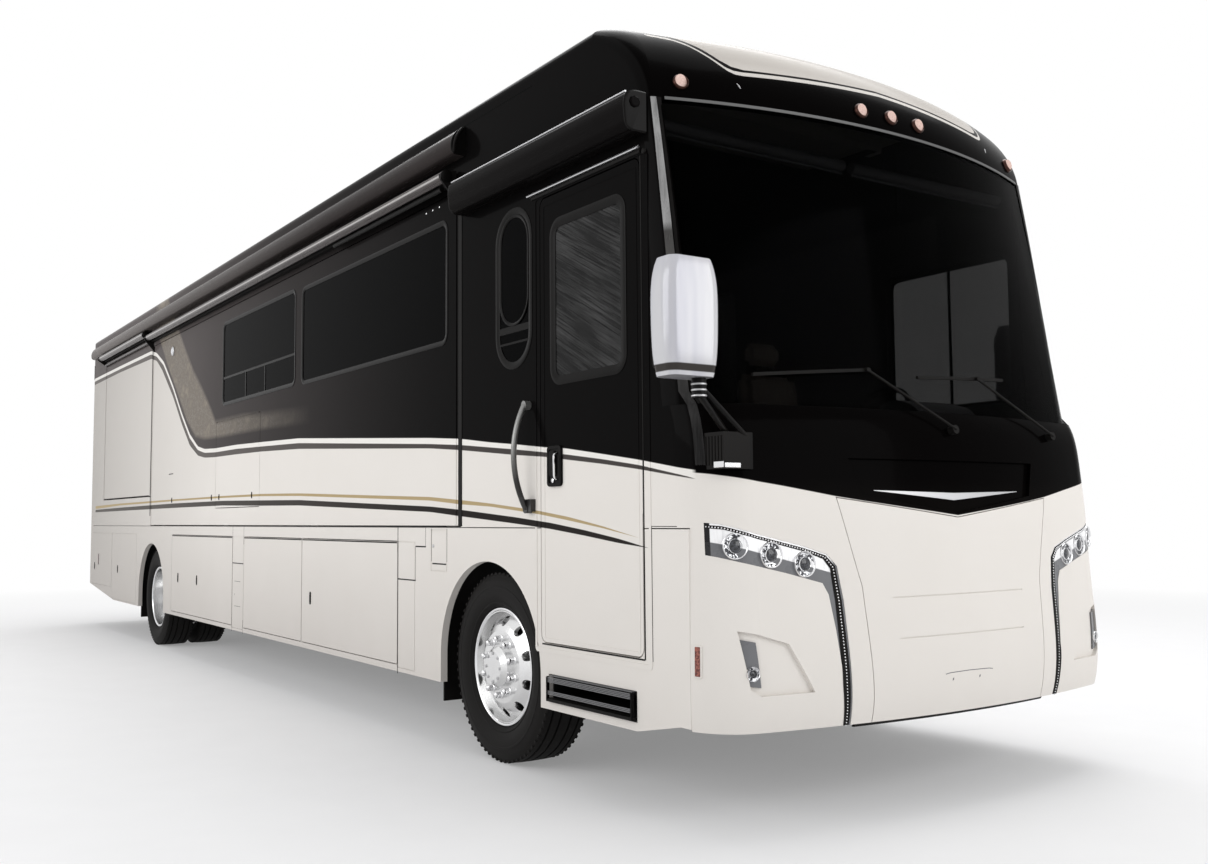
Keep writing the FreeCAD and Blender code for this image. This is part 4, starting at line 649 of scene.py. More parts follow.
# %% Ring, row and path trees
def repeat_tree(kind):
    """A node tree that sets a shape out in a ring about Y, in a row, or along a path."""
    tree = bpy.data.node_groups.new(f"{kind}_of_shapes", "GeometryNodeTree")
    for name, sort in (("Geometry", "Geometry"), ("Shape", "Object"), ("Count", "Int"), ("Start", "Vector"),
                       ("Step", "Vector"), ("Radius", "Float"), ("Gap", "Float"), ("Finish", "Material")):
        tree.interface.new_socket(name, in_out="INPUT", socket_type="NodeSocket" + sort)
    tree.interface.new_socket("Geometry", in_out="OUTPUT", socket_type="NodeSocketGeometry")
    made = {}

    def add(key, kind, links=None, **settings):
        node = tree.nodes.new(kind)
        for name, value in settings.items():
            setattr(node, name, value)
        for target, source in (links or {}).items():
            if isinstance(source, tuple):
                tree.links.new(made[source[0]].outputs[source[1]], node.inputs[target])
            else:
                node.inputs[target].default_value = source
        made[key] = node

    add("given", "NodeGroupInput")
    add("shape", "GeometryNodeObjectInfo", {"Object": ("given", "Shape")})
    seats, turn = ("line", "Mesh"), {}
    if kind == "path":
        add("line", "GeometryNodeResampleCurve", {"Curve": ("given", "Geometry"), "Length": ("given", "Gap")},
            mode="LENGTH")
        seats = ("line", "Curve")
    else:
        add("line", "GeometryNodeMeshLine", {"Count": ("given", "Count"), "Start Location": ("given", "Start"),
                                             "Offset": ("given", "Step")}, mode="OFFSET")
    if kind == "ring":
        add("number", "GeometryNodeInputIndex")
        add("share", "ShaderNodeMath", {0: ("number", "Index"), 1: ("given", "Count")}, operation="DIVIDE")
        add("angle", "ShaderNodeMath", {0: ("share", "Value"), 1: 2 * math.pi}, operation="MULTIPLY")
        add("turn", "ShaderNodeCombineXYZ", {"Y": ("angle", "Value")})
        add("out", "ShaderNodeCombineXYZ", {"Z": ("given", "Radius")})
        add("spoke", "ShaderNodeVectorRotate", {"Vector": ("out", "Vector"), "Rotation": ("turn", "Vector")},
            rotation_type="EULER_XYZ")
        add("seat", "GeometryNodeSetPosition", {"Geometry": seats, "Offset": ("spoke", "Vector")})
        seats, turn = ("seat", "Geometry"), {"Rotation": ("turn", "Vector")}
    add("copies", "GeometryNodeInstanceOnPoints", {"Points": seats, "Instance": ("shape", "Geometry"), **turn})
    add("real", "GeometryNodeRealizeInstances", {"Geometry": ("copies", "Instances")})
    add("coat", "GeometryNodeSetMaterial", {"Geometry": ("real", "Geometry"), "Material": ("given", "Finish")})
    add("end", "NodeGroupOutput", {0: ("coat", "Geometry")})
    return tree


ring_tree, row_tree, path_tree = [repeat_tree(kind) for kind in ("ring", "row", "path")]


def poly_line(name, path):
    """A curve straight from point to point."""
    line = bpy.data.curves.new(name, "CURVE")
    line.dimensions = "3D"
    spline = line.splines.new("POLY")
    spline.points.add(len(path) - 1)
    for dot, place in zip(spline.points, path):
        dot.co = (*place, 1)
    return line


def repeated(name, tree, shape, finish, body="coach", slot="bright", angle=35, path=None, **values):
    """The shape, a small bmesh about the origin, set out by the tree as one plain mesh."""
    bmesh.ops.recalc_face_normals(shape, faces=shape.faces)
    seed = bpy.data.objects.new(name + "_shape", to_data(name + "_shape", shape))
    base = poly_line(name + "_line", path) if path else bpy.data.meshes.new(name + "_holder")
    holder = bpy.data.objects.new(name + "_holder", base)
    scene.collection.objects.link(holder)
    made = holder.modifiers.new("repeat", "NODES")
    made.node_group = tree
    values.update(shape=seed, finish=finish)
    for item in tree.interface.items_tree:
        if item.in_out == "INPUT" and item.name.lower() in values:
            made[item.identifier] = values[item.name.lower()]
    data = bpy.data.meshes.new_from_object(holder.evaluated_get(bpy.context.evaluated_depsgraph_get()))
    holder.modifiers.clear()
    bpy.data.objects.remove(holder)
    bpy.data.objects.remove(seed)
    return settle(name, data, finish, body, slot, angle)


print("trees", ring_tree.name, row_tree.name, path_tree.name)

# %% [markdown]
# ## Tyres and wheels
# A coach tyre is a moulded ring: flat tread with four grooves, square
# shoulders cut by short lugs, and a sidewall with raised rings. A turned
# profile gives all of it except the lugs, which the ring tree presses out.
# The front discs and the rear dished discs stay as they are, and get a rolled
# flange, a ring of chrome nut covers and hub bolts.

# %% Tyre sections
TREAD_R, FRONT_X, REAR_X, LUG_R, LUGS = 0.485, 4.145, -2.925, 0.4825, 70
half_section = [(0.292, 0.094), (0.3025, 0.098), (0.305, 0.108), (0.313, 0.1185), (0.321, 0.1225), (0.323, 0.1255),
                (0.329, 0.1265), (0.332, 0.1245), (0.352, 0.1345), (0.380, 0.1392), (0.402, 0.1386), (0.404, 0.1398),
                (0.412, 0.1396), (0.414, 0.1375), (0.436, 0.1325), (0.456, 0.1255), (0.460, 0.1225), (0.4745, 0.1190),
                (0.4805, 0.1130), (0.4822, 0.1040), (0.4825, 0.0870), (0.4700, 0.0850), (0.4700, 0.0770),
                (0.4838, 0.0750), (0.4845, 0.0370), (0.4710, 0.0350), (0.4710, 0.0270), (0.4848, 0.0250), (0.485, 0.0)]
section = [(r, -y) for r, y in half_section[:-1]] + [(r, y) for r, y in reversed(half_section)]
WHEELS = [(where, side, sign, x, places, f"{body}_{side}", f"{tyre}_{side}", f"{rim}_{side}")
          for where, x, places, body, tyre, rim in (
              ("front", FRONT_X, (1.095,), "front_wheel", "front_tyre", "front_rim"),
              ("rear", REAR_X, (1.095, 0.765), "rear_wheels", "rear_tyres", "rear_rims"))
          for side, sign in SIDES]
for where, side, sign, x, places, body, tyre, rim in WHEELS:
    casing = build(f"{where}_casing_{side}", tyre_rubber,
                   *[(turned, section, (x, sign * y, TREAD_R), (0, 1, 0), 112, True) for y in places],
                   body=body, slot="tyre", angle=32)
    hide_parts(tyre)
    shoulders = [sorted((sign * y + out * 0.1125, sign * y + out * 0.1235)) for y in places for out in (-1, 1)]
    lugs = work(*[(block, (-0.0085, y0, -0.014), (0.0085, y1, 0.0), 0.002, 1) for y0, y1 in shoulders])
    repeated(f"{where}_lugs_{side}", ring_tree, lugs, tyre_rubber, body, "tyre", count=LUGS, start=(x, 0, TREAD_R),
             radius=LUG_R)
print("tyres turned,", len(section), "points a section")

# %% Flanges, nut covers and hub bolts
FLANGE = [(0.283, 0.100), (0.2865, 0.108), (0.292, 0.1125), (0.298, 0.112), (0.3012, 0.1085), (0.3005, 0.1045),
          (0.2955, 0.1065), (0.290, 0.1040), (0.288, 0.099)]
NUT_COVER = [(0.0205, 0.0), (0.0205, 0.004), (0.0165, 0.007), (0.0158, 0.030), (0.0135, 0.037), (0.0080, 0.0405),
             (0, 0.0415)]
HUB_BOLT = [(0.0085, -0.004), (0.0085, 0.004), (0.007, 0.0055), (0, 0.0055)]
for where, side, sign, x, places, body, tyre, rim in WHEELS:
    out = (0, sign, 0)
    build(f"{where}_flange_{side}", chrome, (turned, FLANGE, (x, sign * 1.095, TREAD_R), out, 96, True), body=body,
          slot="bright", angle=50)
    for name, profile, sides, finish, slot, count, radius in (
            ("nut_covers", NUT_COVER, 14, chrome, "bright", 10, 0.143),
            ("hub_bolts", HUB_BOLT, 6, satin_metal, "wheel_metal", 8, 0.072)):
        face = touch([rim], (x, sign * 2, TREAD_R + radius), (0, -sign, 0))[0]
        shape = work((turned, profile, (0, 0, 0), out, sides))
        repeated(f"{where}_{name}_{side}", ring_tree, shape, finish, body, slot, count=count,
                 start=(x, face.y, TREAD_R), radius=radius)
        print(where, side, name, "on the face at y", round(face.y, 3))

# %% [markdown]
# ## Window rubbers and sash bars
# Each pane sits a few millimetres back in its opening and is held by a rubber
# with a raised lip outside and a sloping inner edge. Its section is eight
# points, carried round a rounded rectangle. The big panes that open have thin
# sash bars across the lower part.

# %% Rubbers
LIP = [(0.011, 0.0004), (0.011, 0.0026), (0.007, 0.0036), (-0.004, 0.0032), (-0.019, -0.0008), (-0.019, -0.0038),
       (-0.002, -0.0038), (-0.002, 0.0004)]
LEFT_PANES = ((4.595, 5.475, 1.86, 2.68), (1.895, 3.195, 2.05, 2.85), (-0.755, 0.475, 2.23, 2.91),
              (-4.925, -3.825, 2.23, 2.91))
SASH_BARS = ((-0.56, 1.205, 2.447, 2.466), (0.040, 0.058, 2.24, 2.45), (0.522, 0.540, 2.24, 2.45))


def rubber(mesh, x0, x1, z0, z1, radius, place, grow=1.0):
    """The lip's section carried round a pane; grow widens it."""
    rows = [[place(u, v, d) for u, v in rounded(x0 - o * grow, x1 + o * grow, z0 - o * grow, z1 + o * grow,
                                                max(radius + o * grow, 0.01), 8)] for o, d in LIP]
    skin(mesh, rows, True, False)


mesh = bmesh.new()
for x0, x1, z0, z1 in LEFT_PANES:
    rubber(mesh, x0, x1, z0, z1, 0.07, flank(1))
    middle = (x0 + x1) / 2
    block(mesh, (middle - 0.011, HALF - 0.0045, z0 + 0.01), (middle + 0.011, HALF - 0.0005, z1 - 0.01), 0.0012, 1)
rubber(mesh, 4.240, 4.576, 2.003, 2.800, 0.165, flank(), 1.25)
rubber(mesh, 4.268, 4.548, 2.215, 2.772, 0.138, flank(stand=-0.0006), 0.55)
bar(mesh, 4.250, 4.566, 2.176, 2.212, -0.0005, 0.0015, 1, 0.0045)
bar(mesh, 4.262, 4.554, 2.118, 2.130, 0.001, 0.001, 1, 0.0045)
fit("window_rubbers", mesh, gloss_trim, angle=30)
build("slide_window_rubbers", gloss_trim, (rubber, 1.360, 3.665, 2.22, 2.91, 0.06, flank()),
      (rubber, -0.571, 1.215, 2.23, 2.93, 0.06, flank()),
      *[(bar, *sash, -0.0002, 0.0012, 1, 0.0046) for sash in SASH_BARS], body="front_slide_room", angle=30)
build("door_window_rubber", gloss_trim, (rubber, 4.775, 5.370, 1.885, 2.655, 0.07, flank(), 1.5),
      body="entry_door", angle=30)
print("rubbers round", len(LIP), "points")

# %% [markdown]
# ## Headlamps
# Each headlamp is a long housing let into the corner: bright above, grey
# below, with three round lamps and a black strip of little studs along its
# upper edge and down its leg. The housing is one of the frame's pieces, so
# its two tones are painted by height. The lamps are turned rings and lenses,
# each set square to the surface it sits on, and the studs follow a path.

# %% Lamp finishes
LAMP_TOP, LAMP_END = 2.0, 1.2355
bench, _, y, z, here = new_bench("lamp_housing")
out = abs(y)
bright = z.above(out * 0.262 + 0.820, 0.0015) * out.above(0.735, 0.012) * z.below(LAMP_TOP)
haze = bench.specks(here, 14.0, 4.0)
ripple = bench.specks(bench.stretched(here, (1, 14, 1)), 9.0, 3.0)
grey = bench.mix(haze * 0.5, srgb(104, 105, 108), srgb(124, 125, 128))
silver = bench.mix(ripple.above(0.62, 0.1) * 0.35, srgb(247, 247, 248), srgb(170, 171, 176))
pink = bench.mix(bench.specks(here, 170.0, 2.0), srgb(186, 142, 128), srgb(242, 218, 208))
housing = bench.mix(z.above(LAMP_TOP), bench.mix(bright, grey, silver), pink)
housing = bench.mix(out.above(LAMP_END, 0.001) * z.below(LAMP_TOP), housing, srgb(28, 28, 30))
lamp_housing = bench.finish(housing, haze * 0.08 + bright * -0.14 + 0.24, metallic=bright * 0.45,
                            specular_ior_level=0.3)

bench, *_, here = new_bench("lamp_reflector")
facets = bench.node("ShaderNodeTexVoronoi", sockets={"Vector": here, "Scale": 110.0})
# Bright and dark patches in the bowl's colour are painted highlights, the broken reflections of its facets.
glint_noise = bench.specks(here, 80.0, 4.0)
bowl = bench.mix(glint_noise.above(0.53, 0.05), srgb(60, 61, 64), srgb(225, 226, 229))
lamp_reflector = bench.finish(bowl, glint_noise * 0.2 + 0.06, metallic=0.8, normal=bench.bump(facets, 0.7, 0.003))


def lens_finish(name, colour, flute_highlight):
    """Fluted plastic, its flutes painted lighter as a painted highlight."""
    bench, *_, here = new_bench(name)
    flute = bench.specks(here, 120.0, 2.0)
    tone = bench.mix(flute.above(0.5, 0.08), colour, flute_highlight)
    return bench.finish(tone, flute * 0.05 + 0.06, normal=bench.bump(flute, 0.35, 0.001), specular_ior_level=0.5)


dark_lens = lens_finish("dark_lens", srgb(26, 27, 30), srgb(66, 68, 74))
red_lens = lens_finish("red_lens", srgb(88, 38, 32), srgb(152, 88, 74))
clear_lens = lens_finish("clear_lens", srgb(196, 198, 202), srgb(240, 241, 244))
copper_trim = bright_metal("copper_trim", srgb(66, 46, 41), 0.28, 0.05)
dress(lamp_housing, "front_lamps")
print("lamp finishes ready")

# %% Round lamps
BEZEL = ((1.0, -0.004), (1.0, 0.007), (0.965, 0.0105), (0.90, 0.0085), (0.87, 0.004), (0.87, -0.004))
INNER_BEZEL = ((0.56, -0.004), (0.56, 0.0065), (0.52, 0.0085), (0.48, 0.0055), (0.48, -0.004))
BOWL = ((0.89, 0.0042), (0.55, 0.0022), (0.55, -0.003), (0.89, -0.003))
LENS = ((0.5, -0.003), (0.5, 0.002), (0.36, 0.0060), (0.18, 0.0080), (0, 0.0086))


def round_lamp(name, side, y, z, size):
    """A chrome bezel, a faceted bowl and a dark lens, square to the surface."""
    spot, out = nose(y, z, ("front_lamps",))
    axis = (out * 0.6 + Vector((0.4, 0, 0))).normalized()
    spot = spot - axis * 0.0012

    def ring(profile, sides, closed=True):
        return turned, [(size * r, d) for r, d in profile], spot, axis, sides, closed

    build(f"{name}_bezel_{side}", chrome, ring(BEZEL, 48), ring(INNER_BEZEL, 40), slot="bright", angle=50)
    build(f"{name}_bowl_{side}", lamp_reflector, ring(BOWL, 48), slot="lamp", angle=60)
    build(f"{name}_lens_{side}", dark_lens, ring(LENS, 32, False), slot="lamp", angle=60)


for side, sign in SIDES:
    for name, y, z in (("outer_lamp", 1.165, 1.128), ("middle_lamp", 1.020, 1.091), ("inner_lamp", 0.868, 1.051)):
        round_lamp(name, side, sign * y, z, 0.0535)
    round_lamp("fog_lamp", side, sign * 1.127, 0.632, 0.030)
print("eight round lamps set")

# %% The studded black strip
STRIP = [(1.243, 1.2115), (1.205, 1.2065), (1.082, 1.168), (0.875, 1.117), (0.765, 1.084), (0.7205, 1.038),
         (0.700, 0.900), (0.6835, 0.566), (0.6765, 0.400)]
INNER = [(1.243, 1.1985), (1.202, 1.1935), (1.077, 1.155), (0.871, 1.103), (0.777, 1.070), (0.7450, 1.030),
         (0.7310, 0.899), (0.7220, 0.566), (0.7050, 0.400)]
STRIP_STEP, STUD_GAP, STUD_R = 0.02, 0.0125, 0.0042


def even_pairs(outer, inner, gap):
    """Both edges of a strip in the same even short steps, measured on the outer one."""
    first, second = [[Vector((*p, 0)) for p in line] for line in (outer, inner)]
    pairs = []
    for a, b, c, d in zip(first, first[1:], second, second[1:]):
        steps = max(1, round((b - a).length / gap))
        pairs += [(a.lerp(b, k / steps), c.lerp(d, k / steps)) for k in range(steps)]
    return pairs + [(first[-1], second[-1])]


def felt_line(points, sign, stand):
    """Points on the front, felt at each place across and up, standing off it."""
    spots = [nose(sign * p.x, p.y, ("front_lamps", "front_fascia")) for p in points]
    return [spot + out * stand for spot, out in spots if spot and spot.x > 5.0]


pairs = even_pairs(STRIP, INNER, STRIP_STEP)
for side, sign in SIDES:
    mesh, rows = bmesh.new(), []
    for pair in pairs:
        edges = felt_line(pair, sign, 0.0)
        if len(edges) == 2:
            lift = Vector((0.0026, sign * 0.0006, 0.0004))
            rows.append([edges[0] - lift * 0.5, edges[0] + lift, edges[1] + lift, edges[1] - lift * 0.5])
    skin(mesh, rows)
    fit(f"lamp_strip_{side}", mesh, black_trim, angle=40)
    stud = bmesh.new()
    bmesh.ops.create_icosphere(stud, subdivisions=1, radius=STUD_R)
    centre = felt_line([(a + b) / 2 for a, b in pairs], sign, 0.0030)
    repeated(f"lamp_studs_{side}", path_tree, stud, chrome, angle=40, path=centre, gap=STUD_GAP)
print("studded strips follow", len(pairs), "steps")

# %% [markdown]
# ## Marker lights, the chevron and the nose trims
# Five round clearance lights sit in the brow in copper-coloured rims, and a
# slim bright chevron crosses the dark band under the windscreen. The corner
# posts carry a metal moulding from the brow down to the shoulder, bright at the
# top and near black below, a painted reflection. Bars that cross a curved panel
# are laid out as short steps and felt down onto it.

# %% Marker rims and chevron
MARKER_RIM = ((0.0300, 0.0), (0.0300, 0.0155), (0.0320, 0.0175), (0.0350, 0.0150), (0.0385, 0.004),
              (0.0385, -0.006), (0.0300, -0.006))
mesh = bmesh.new()
for y, z in ((-1.121, 3.129), (1.121, 3.129), (-0.195, 3.125), (0.195, 3.125), (0.0, 3.127)):
    _, out = nose(y + 0.045 * (1 if y < 0 else -1), z, ("front_cap", "front_fascia"))
    base, _ = nose(y, z, ("front_lamps",))
    axis = (out + Vector((0.15, 0, 0))).normalized()
    turned(mesh, MARKER_RIM, base - axis * 0.014, axis, 32, ring=True)
fit("marker_rims", mesh, copper_trim, slot="bright", angle=50)


def crossing(mesh, stations, names, lift, back=0.004):
    """A bar felt down onto the nose through (y, low z, high z) stations, standing off by lift."""
    rows = []
    for y, low, high in stations:
        a, out = nose(y, low, names)
        b, _ = nose(y, high, names)
        rows.append([a - out * back, a + out * lift, b + out * lift, b - out * back])
    skin(mesh, rows)


chevron = [(y, 1.308 + abs(y) * 0.083, 1.340 + abs(y) * 0.0205) for y in [k * 0.0435 - 0.4785 for k in range(23)]]
build("nose_chevron", satin_metal, (crossing, chevron, ("front_fascia", "front_panel"), 0.005), slot="bright",
      angle=30)
bow = [(k * 0.026 - 0.156, 0.006 * (1 - abs(k - 6) / 6) ** 0.3) for k in range(13)]
build("tow_cover_seam", grey_moulding,
      (crossing, [(y, 0.5655 + rise, 0.5690 + rise) for y, rise in bow], ("front_panel",), 0.0003),
      *[(crossing, [(y - 0.004, 0.536, 0.546), (y + 0.004, 0.540, 0.550)], ("front_panel",), 0.0003)
        for y in (-0.109, 0.066)], angle=30)
for side, sign in SIDES:
    dash = [nose(sign * y, z)[0] for y, z in ((0.853, 3.156), (0.846, 3.142), (0.842, 3.128))]
    build(f"brow_dash_{side}", satin_metal, (rod, dash, [0.001, 0.0035, 0.001]), slot="bright")
print("chevron in", len(chevron), "steps")

# %% Corner-post mouldings and the line under the brow
BROW_FOOT, POST_STEPS = 3.045, 26
bench, *_, z, here = new_bench("post_metal")
drawn = bench.specks(bench.stretched(here, (1, 1, 0.08)), 60.0, 3.0)
# The moulding is near black low down, fades to dark grey, and turns bright silver above a sharp edge: a painted
# reflection.
lower = bench.mix(z.above(1.95, 0.35), srgb(10, 9, 9), srgb(70, 69, 68))
post = bench.mix(z.above(2.46, 0.02), lower, srgb(158, 158, 158))
post_metal = bench.finish(bench.mix(drawn.above(0.5, 0.2) * 0.5, post, srgb(60, 59, 59)), drawn * 0.15 + 0.2,
                          metallic=z.above(2.0, 0.3) * 0.35, specular_ior_level=0.06)
brow_metal = bright_metal("brow_metal", srgb(96, 96, 96), 0.38, 0.10, (14, 1, 14))


def post_strip(mesh, sign, near, far, low, lift):
    """A moulding felt down the corner post between two lines across it."""
    rows = []
    for k in range(POST_STEPS + 1):
        z = low + (BROW_FOOT - low) * k / POST_STEPS
        (a, m), (b, n) = [nose(sign * y, z, ("front_cap", "front_fascia", "windshield")) for y in (near, far)]
        rows.append([a - m * 0.003, a + m * lift, b + n * lift, b - n * 0.003])
    skin(mesh, rows)


for side, sign in SIDES:
    for name, finish, *strip in (("moulding", post_metal, 1.236, 1.258, 1.45, 0.0045),
                                 ("rubber", gloss_trim, 1.214, 1.233, 1.70, 0.0028)):
        build(f"post_{name}_{side}", finish, (post_strip, sign, *strip), slot="bright", angle=40)
lip = [(k * 0.05 - 1.2, 3.036, 3.050) for k in range(49)]
build("brow_lip", brow_metal, (crossing, lip, ("front_cap", "windshield"), 0.004), slot="bright", angle=30)
print("post mouldings and brow lip on")

# %% [markdown]
# ## Door furniture, seams and latches
# The entry door is hung in a raised surround with a rubber seal that shows
# thick and black at its front and lower edges, under an aluminium drip rail.
# The other doors lock with small paddle latches. Seams too fine for the frame
# are laid on as hairlines, each on the body that carries it.

# %% Surround, seal and drip rail
RAIL = ((0.0005, 2.8265), (-0.012, 2.8265), (-0.019, 2.824), (-0.021, 2.829), (-0.018, 2.834), (-0.006, 2.842),
        (0.0005, 2.844))
RIGHT = (0, -1, 0)
build("door_surround", body_paint, (frame_ring, rounded(4.612, 5.549, 0.612, 2.803, 0.02),
                                    rounded(4.628, 5.533, 0.634, 2.7975, 0.012), flank(), -0.0008, 0.0026),
      slot="body_black")
build("door_bead", body_paint, (frame_ring, rounded(4.697, 5.466, 0.676, 2.756, 0.014),
                                rounded(4.702, 5.461, 0.681, 2.751, 0.010), flank(), -0.0008, 0.0016),
      body="entry_door", slot="body_black")
build("door_seals", black_trim, (bar, 5.4928, 5.5010, 0.650, 2.796, 0.0016, 0.0006, 1),
      (bar, 4.672, 5.4928, 0.6475, 0.6545, 0.0016, 0.0006, 1),
      (bar, 4.585, 5.500, 2.806, 2.826, 0.0060, 0.002, 2, 0.0005),
      (turned, [(0.012, 0), (0.012, 0.009), (0.006, 0.012), (0, 0.012)], (5.530, -HALF, 2.806), RIGHT, 20))
build("drip_rail", satin_metal, (skin, [[Vector((x, y - HALF, z)) for y, z in RAIL] for x in (4.568, 5.492)]),
      slot="bright")
build("front_slide_flanges", room_paint, (bar, 3.760, 3.784, 1.212, 3.040, 0.0035, 0.0022),
      (bar, -3.030, -3.010, 1.212, 3.040, 0.0035, 0.0022), body="front_slide_room", slot="body_black")
build("rear_slide_flanges", room_paint, (bar, -3.090, -3.070, 1.505, 3.135, 0.0035, 0.0022),
      (bar, -5.337, -5.317, 1.505, 3.135, 0.0035, 0.0022), body="rear_slide_room", slot="body_black")
print("door trimmed")

# %% Entry door handle
HANDLE_X = 4.826
mesh = bmesh.new()
cup = rounded(4.738, 4.862, 1.392, 1.584, 0.022)
plate(mesh, cup, flank(), -0.0005, 0.0075)
frame_ring(mesh, cup, rounded(4.752, 4.848, 1.408, 1.568, 0.012), flank(), 0.0072, 0.0125)
plate(mesh, rounded(4.762, 4.812, 1.440, 1.560, 0.014), flank(), 0.007, 0.0165)
long_edges = [e for e in mesh.edges if e.calc_length() > 0.05]
bmesh.ops.bevel(mesh, geom=long_edges, offset=0.001, segments=1, affect="EDGES")
fit("door_handle_plate", mesh, gloss_trim, body="entry_door")
grip = [(HANDLE_X, -HALF - d, z) for d, z in ((0.010, 1.425), (0.026, 1.432), (0.028, 1.540), (0.010, 1.548))]
build("door_handle_bar", chrome, (rod, bent(grip, 0.012), 0.0055),
      (turned, [(0.011, 0.006), (0.011, 0.0135), (0.008, 0.0155), (0, 0.0155)], (4.790, -HALF, 1.420), RIGHT, 20),
      body="entry_door", slot="bright")
bench, *_, z, here = new_bench("rail_metal")
rub = bench.specks(bench.stretched(here, (8, 8, 1)), 30.0, 3.0)
# The rail's fade from dark grey below to light grey above is a painted reflection.
tone = bench.mix(z.above(1.52, 0.10), srgb(38, 36, 35), srgb(150, 150, 148))
tone = bench.mix(z.below(1.342, 0.002), tone, srgb(16, 16, 16))
rail_metal = bench.finish(bench.mix(rub * 0.5, tone, srgb(70, 69, 68)), rub * 0.2 + 0.2,
                          metallic=z.above(1.345) * 0.6)
dress(rail_metal, "grab_handle")
print("handles on")

# %% Paddle latches and hairlines
def latch(mesh, x, z, side=-1, wide=0.026, tall=0.088):
    """A paddle in an oval cup, with a round keyhole above it."""
    put = flank(side)
    plate(mesh, rounded(x - wide / 2, x + wide / 2, z - tall / 2, z + tall / 2, wide * 0.42, 4), put, -0.0004, 0.003)
    plate(mesh, rounded(x - wide / 4, x + wide / 4, z - tall * 0.32, z + tall * 0.25, wide * 0.2, 4), put, 0.0025,
          0.0062)
    turned(mesh, [(wide * 0.17, 0.0028), (wide * 0.17, 0.0055), (0, 0.006)],
           (x, side * HALF, z + tall * 0.36), (0, side, 0), 12)


LATCH_Z, SMALL = 0.715, (1.445, -1, 0.016, 0.052)
for body, side, z, places in (("coach", -1, LATCH_Z, (-5.760, -4.498)),
                              ("bay_door_right_rear", -1, LATCH_Z, (-1.920, -1.283)),
                              ("bay_door_right_front", -1, 0.705, (1.575,)),
                              ("bay_door_left_front", 1, LATCH_Z, (1.568, 2.850)),
                              ("bay_door_left_middle", 1, LATCH_Z, (0.300, 1.180))):
    build(f"latches_{body}", gloss_trim, *[(latch, x, z, side) for x in places], body=body)
build("latches_front_slide", gloss_trim, *[(latch, x, *SMALL) for x in (-2.194, -0.860)],
      (bar, -2.315, -2.165, 1.696, 1.704, 0.004, 0.0015, 1, 0.0005), body="front_slide_room")
build("latches_tv_door", gloss_trim, *[(latch, x, *SMALL) for x in (-0.634, 0.254)], body="tv_door")


def hairlines(name, lines, side=-1, wide=0.0028, body="coach"):
    """Fine dark seams, as (x, z) to (x, z) laid just proud of the skin."""
    mesh, w = bmesh.new(), wide / 2
    y0, y1 = sorted((side * (HALF - 0.0006), side * (HALF + 0.0005)))
    for (a, b), (c, d) in lines:
        block(mesh, (min(a, c) - w, y0, min(b, d) - w), (max(a, c) + w, y1, max(b, d) + w))
    fit(name, mesh, black_trim, body=body)


columns = [((-0.160, z), (-0.010, z)) for z in (0.753, 0.553)] + [((-0.158, 0.640), (-0.158, 0.652))]
uprights = [((x, 0.345), (x, 1.196)) for x in (-0.228, 0.065)]
steps = [((5.5505, 0.650), (5.5505, 1.204)), ((5.5505, 1.2065), (5.720, 1.2065)), ((3.401, 1.088), (3.401, 1.197)),
         ((3.268, 0.895), (3.268, 1.086)), ((3.478, 1.19), (3.478, 1.01)), ((3.668, 1.19), (3.668, 1.01))]
heavy = [((-0.226, 0.899), (0.062, 0.899)), ((3.018, 0.893), (3.268, 0.893)), ((3.272, 1.088), (3.401, 1.088)),
         ((3.0255, 0.345), (3.0255, 1.197)), ((3.492, 0.996), (3.655, 0.996))]
hairlines("right_hairlines", columns + uprights + steps)
hairlines("right_seams", heavy, -1, 0.0075)
hairlines("left_hairlines", columns + uprights, 1)
hairlines("left_seams", heavy[:1] + [((-4.2, 0.42), (-4.2, 1.19))], 1, 0.0055)
for body, x0, x1 in (("bay_door_right_front", 1.412, 3.008), ("bay_door_right_middle", 0.082, 1.386),
                     ("bay_door_right_rear", -2.152, -0.245)):
    hairlines(f"top_seal_{body}", [((x0, 1.106), (x1, 1.106))], -1, 0.008, body)
build("slide_gaskets", black_trim, (bar, 3.805, 3.848, 1.204, 3.040, 0.0030, 0.0015),
      (bar, -3.062, -3.040, 1.300, 3.040, 0.0030, 0.0015), (bar, -6.035, -6.025, 3.000, 3.180, 0.0022, 0.001))
build("rear_slide_foot", black_trim, (bar, -5.314, -3.093, 1.505, 1.512, 0.0012, 0.0005, 1), body="rear_slide_room")
LOCK = [(0.009, -0.0005), (0.009, 0.003), (0.005, 0.0045), (0, 0.0045)]
build("filler_locks", satin_metal, (turned, LOCK, (3.500, -HALF, 1.094), RIGHT, 18),
      (turned, LOCK, (-4.9, HALF, 1.02), (0, 1, 0), 18), slot="bright")
print("latches and hairlines on")

# %% Step treads, porch light and side markers
RIB, GRIP = ((-0.330, -0.0018, -0.0022), (0.330, 0.0006, 0.0022)), ((-0.330, -0.003, -0.0008), (0.330, 0.003, 0.0016))
STEP_X, STEP_FACE = 5.082, -1.3025
for name, corners, count, start, step in (
        ("upper_tread_ribs", RIB, 4, (STEP_X, STEP_FACE, 0.503), (0, 0, -0.0065)),
        ("lower_tread_ribs", RIB, 3, (STEP_X, STEP_FACE, 0.440), (0, 0, -0.0065)),
        ("tread_grip", GRIP, 14, (STEP_X, -1.292, 0.510), (0, 0.0135, 0))):
    repeated(name, row_tree, work((block, *corners, 0.0006, 1)), grey_moulding, "entry_step", count=count,
             start=start, step=step)
build("step_cheeks", gloss_trim, *[(block, (x, -1.3055, 0.392), (x + 0.012, -1.290, 0.508), 0.003)
                                   for x in (4.736, 5.415)], body="entry_step")
PORCH = (-2.246, -HALF, 2.899)
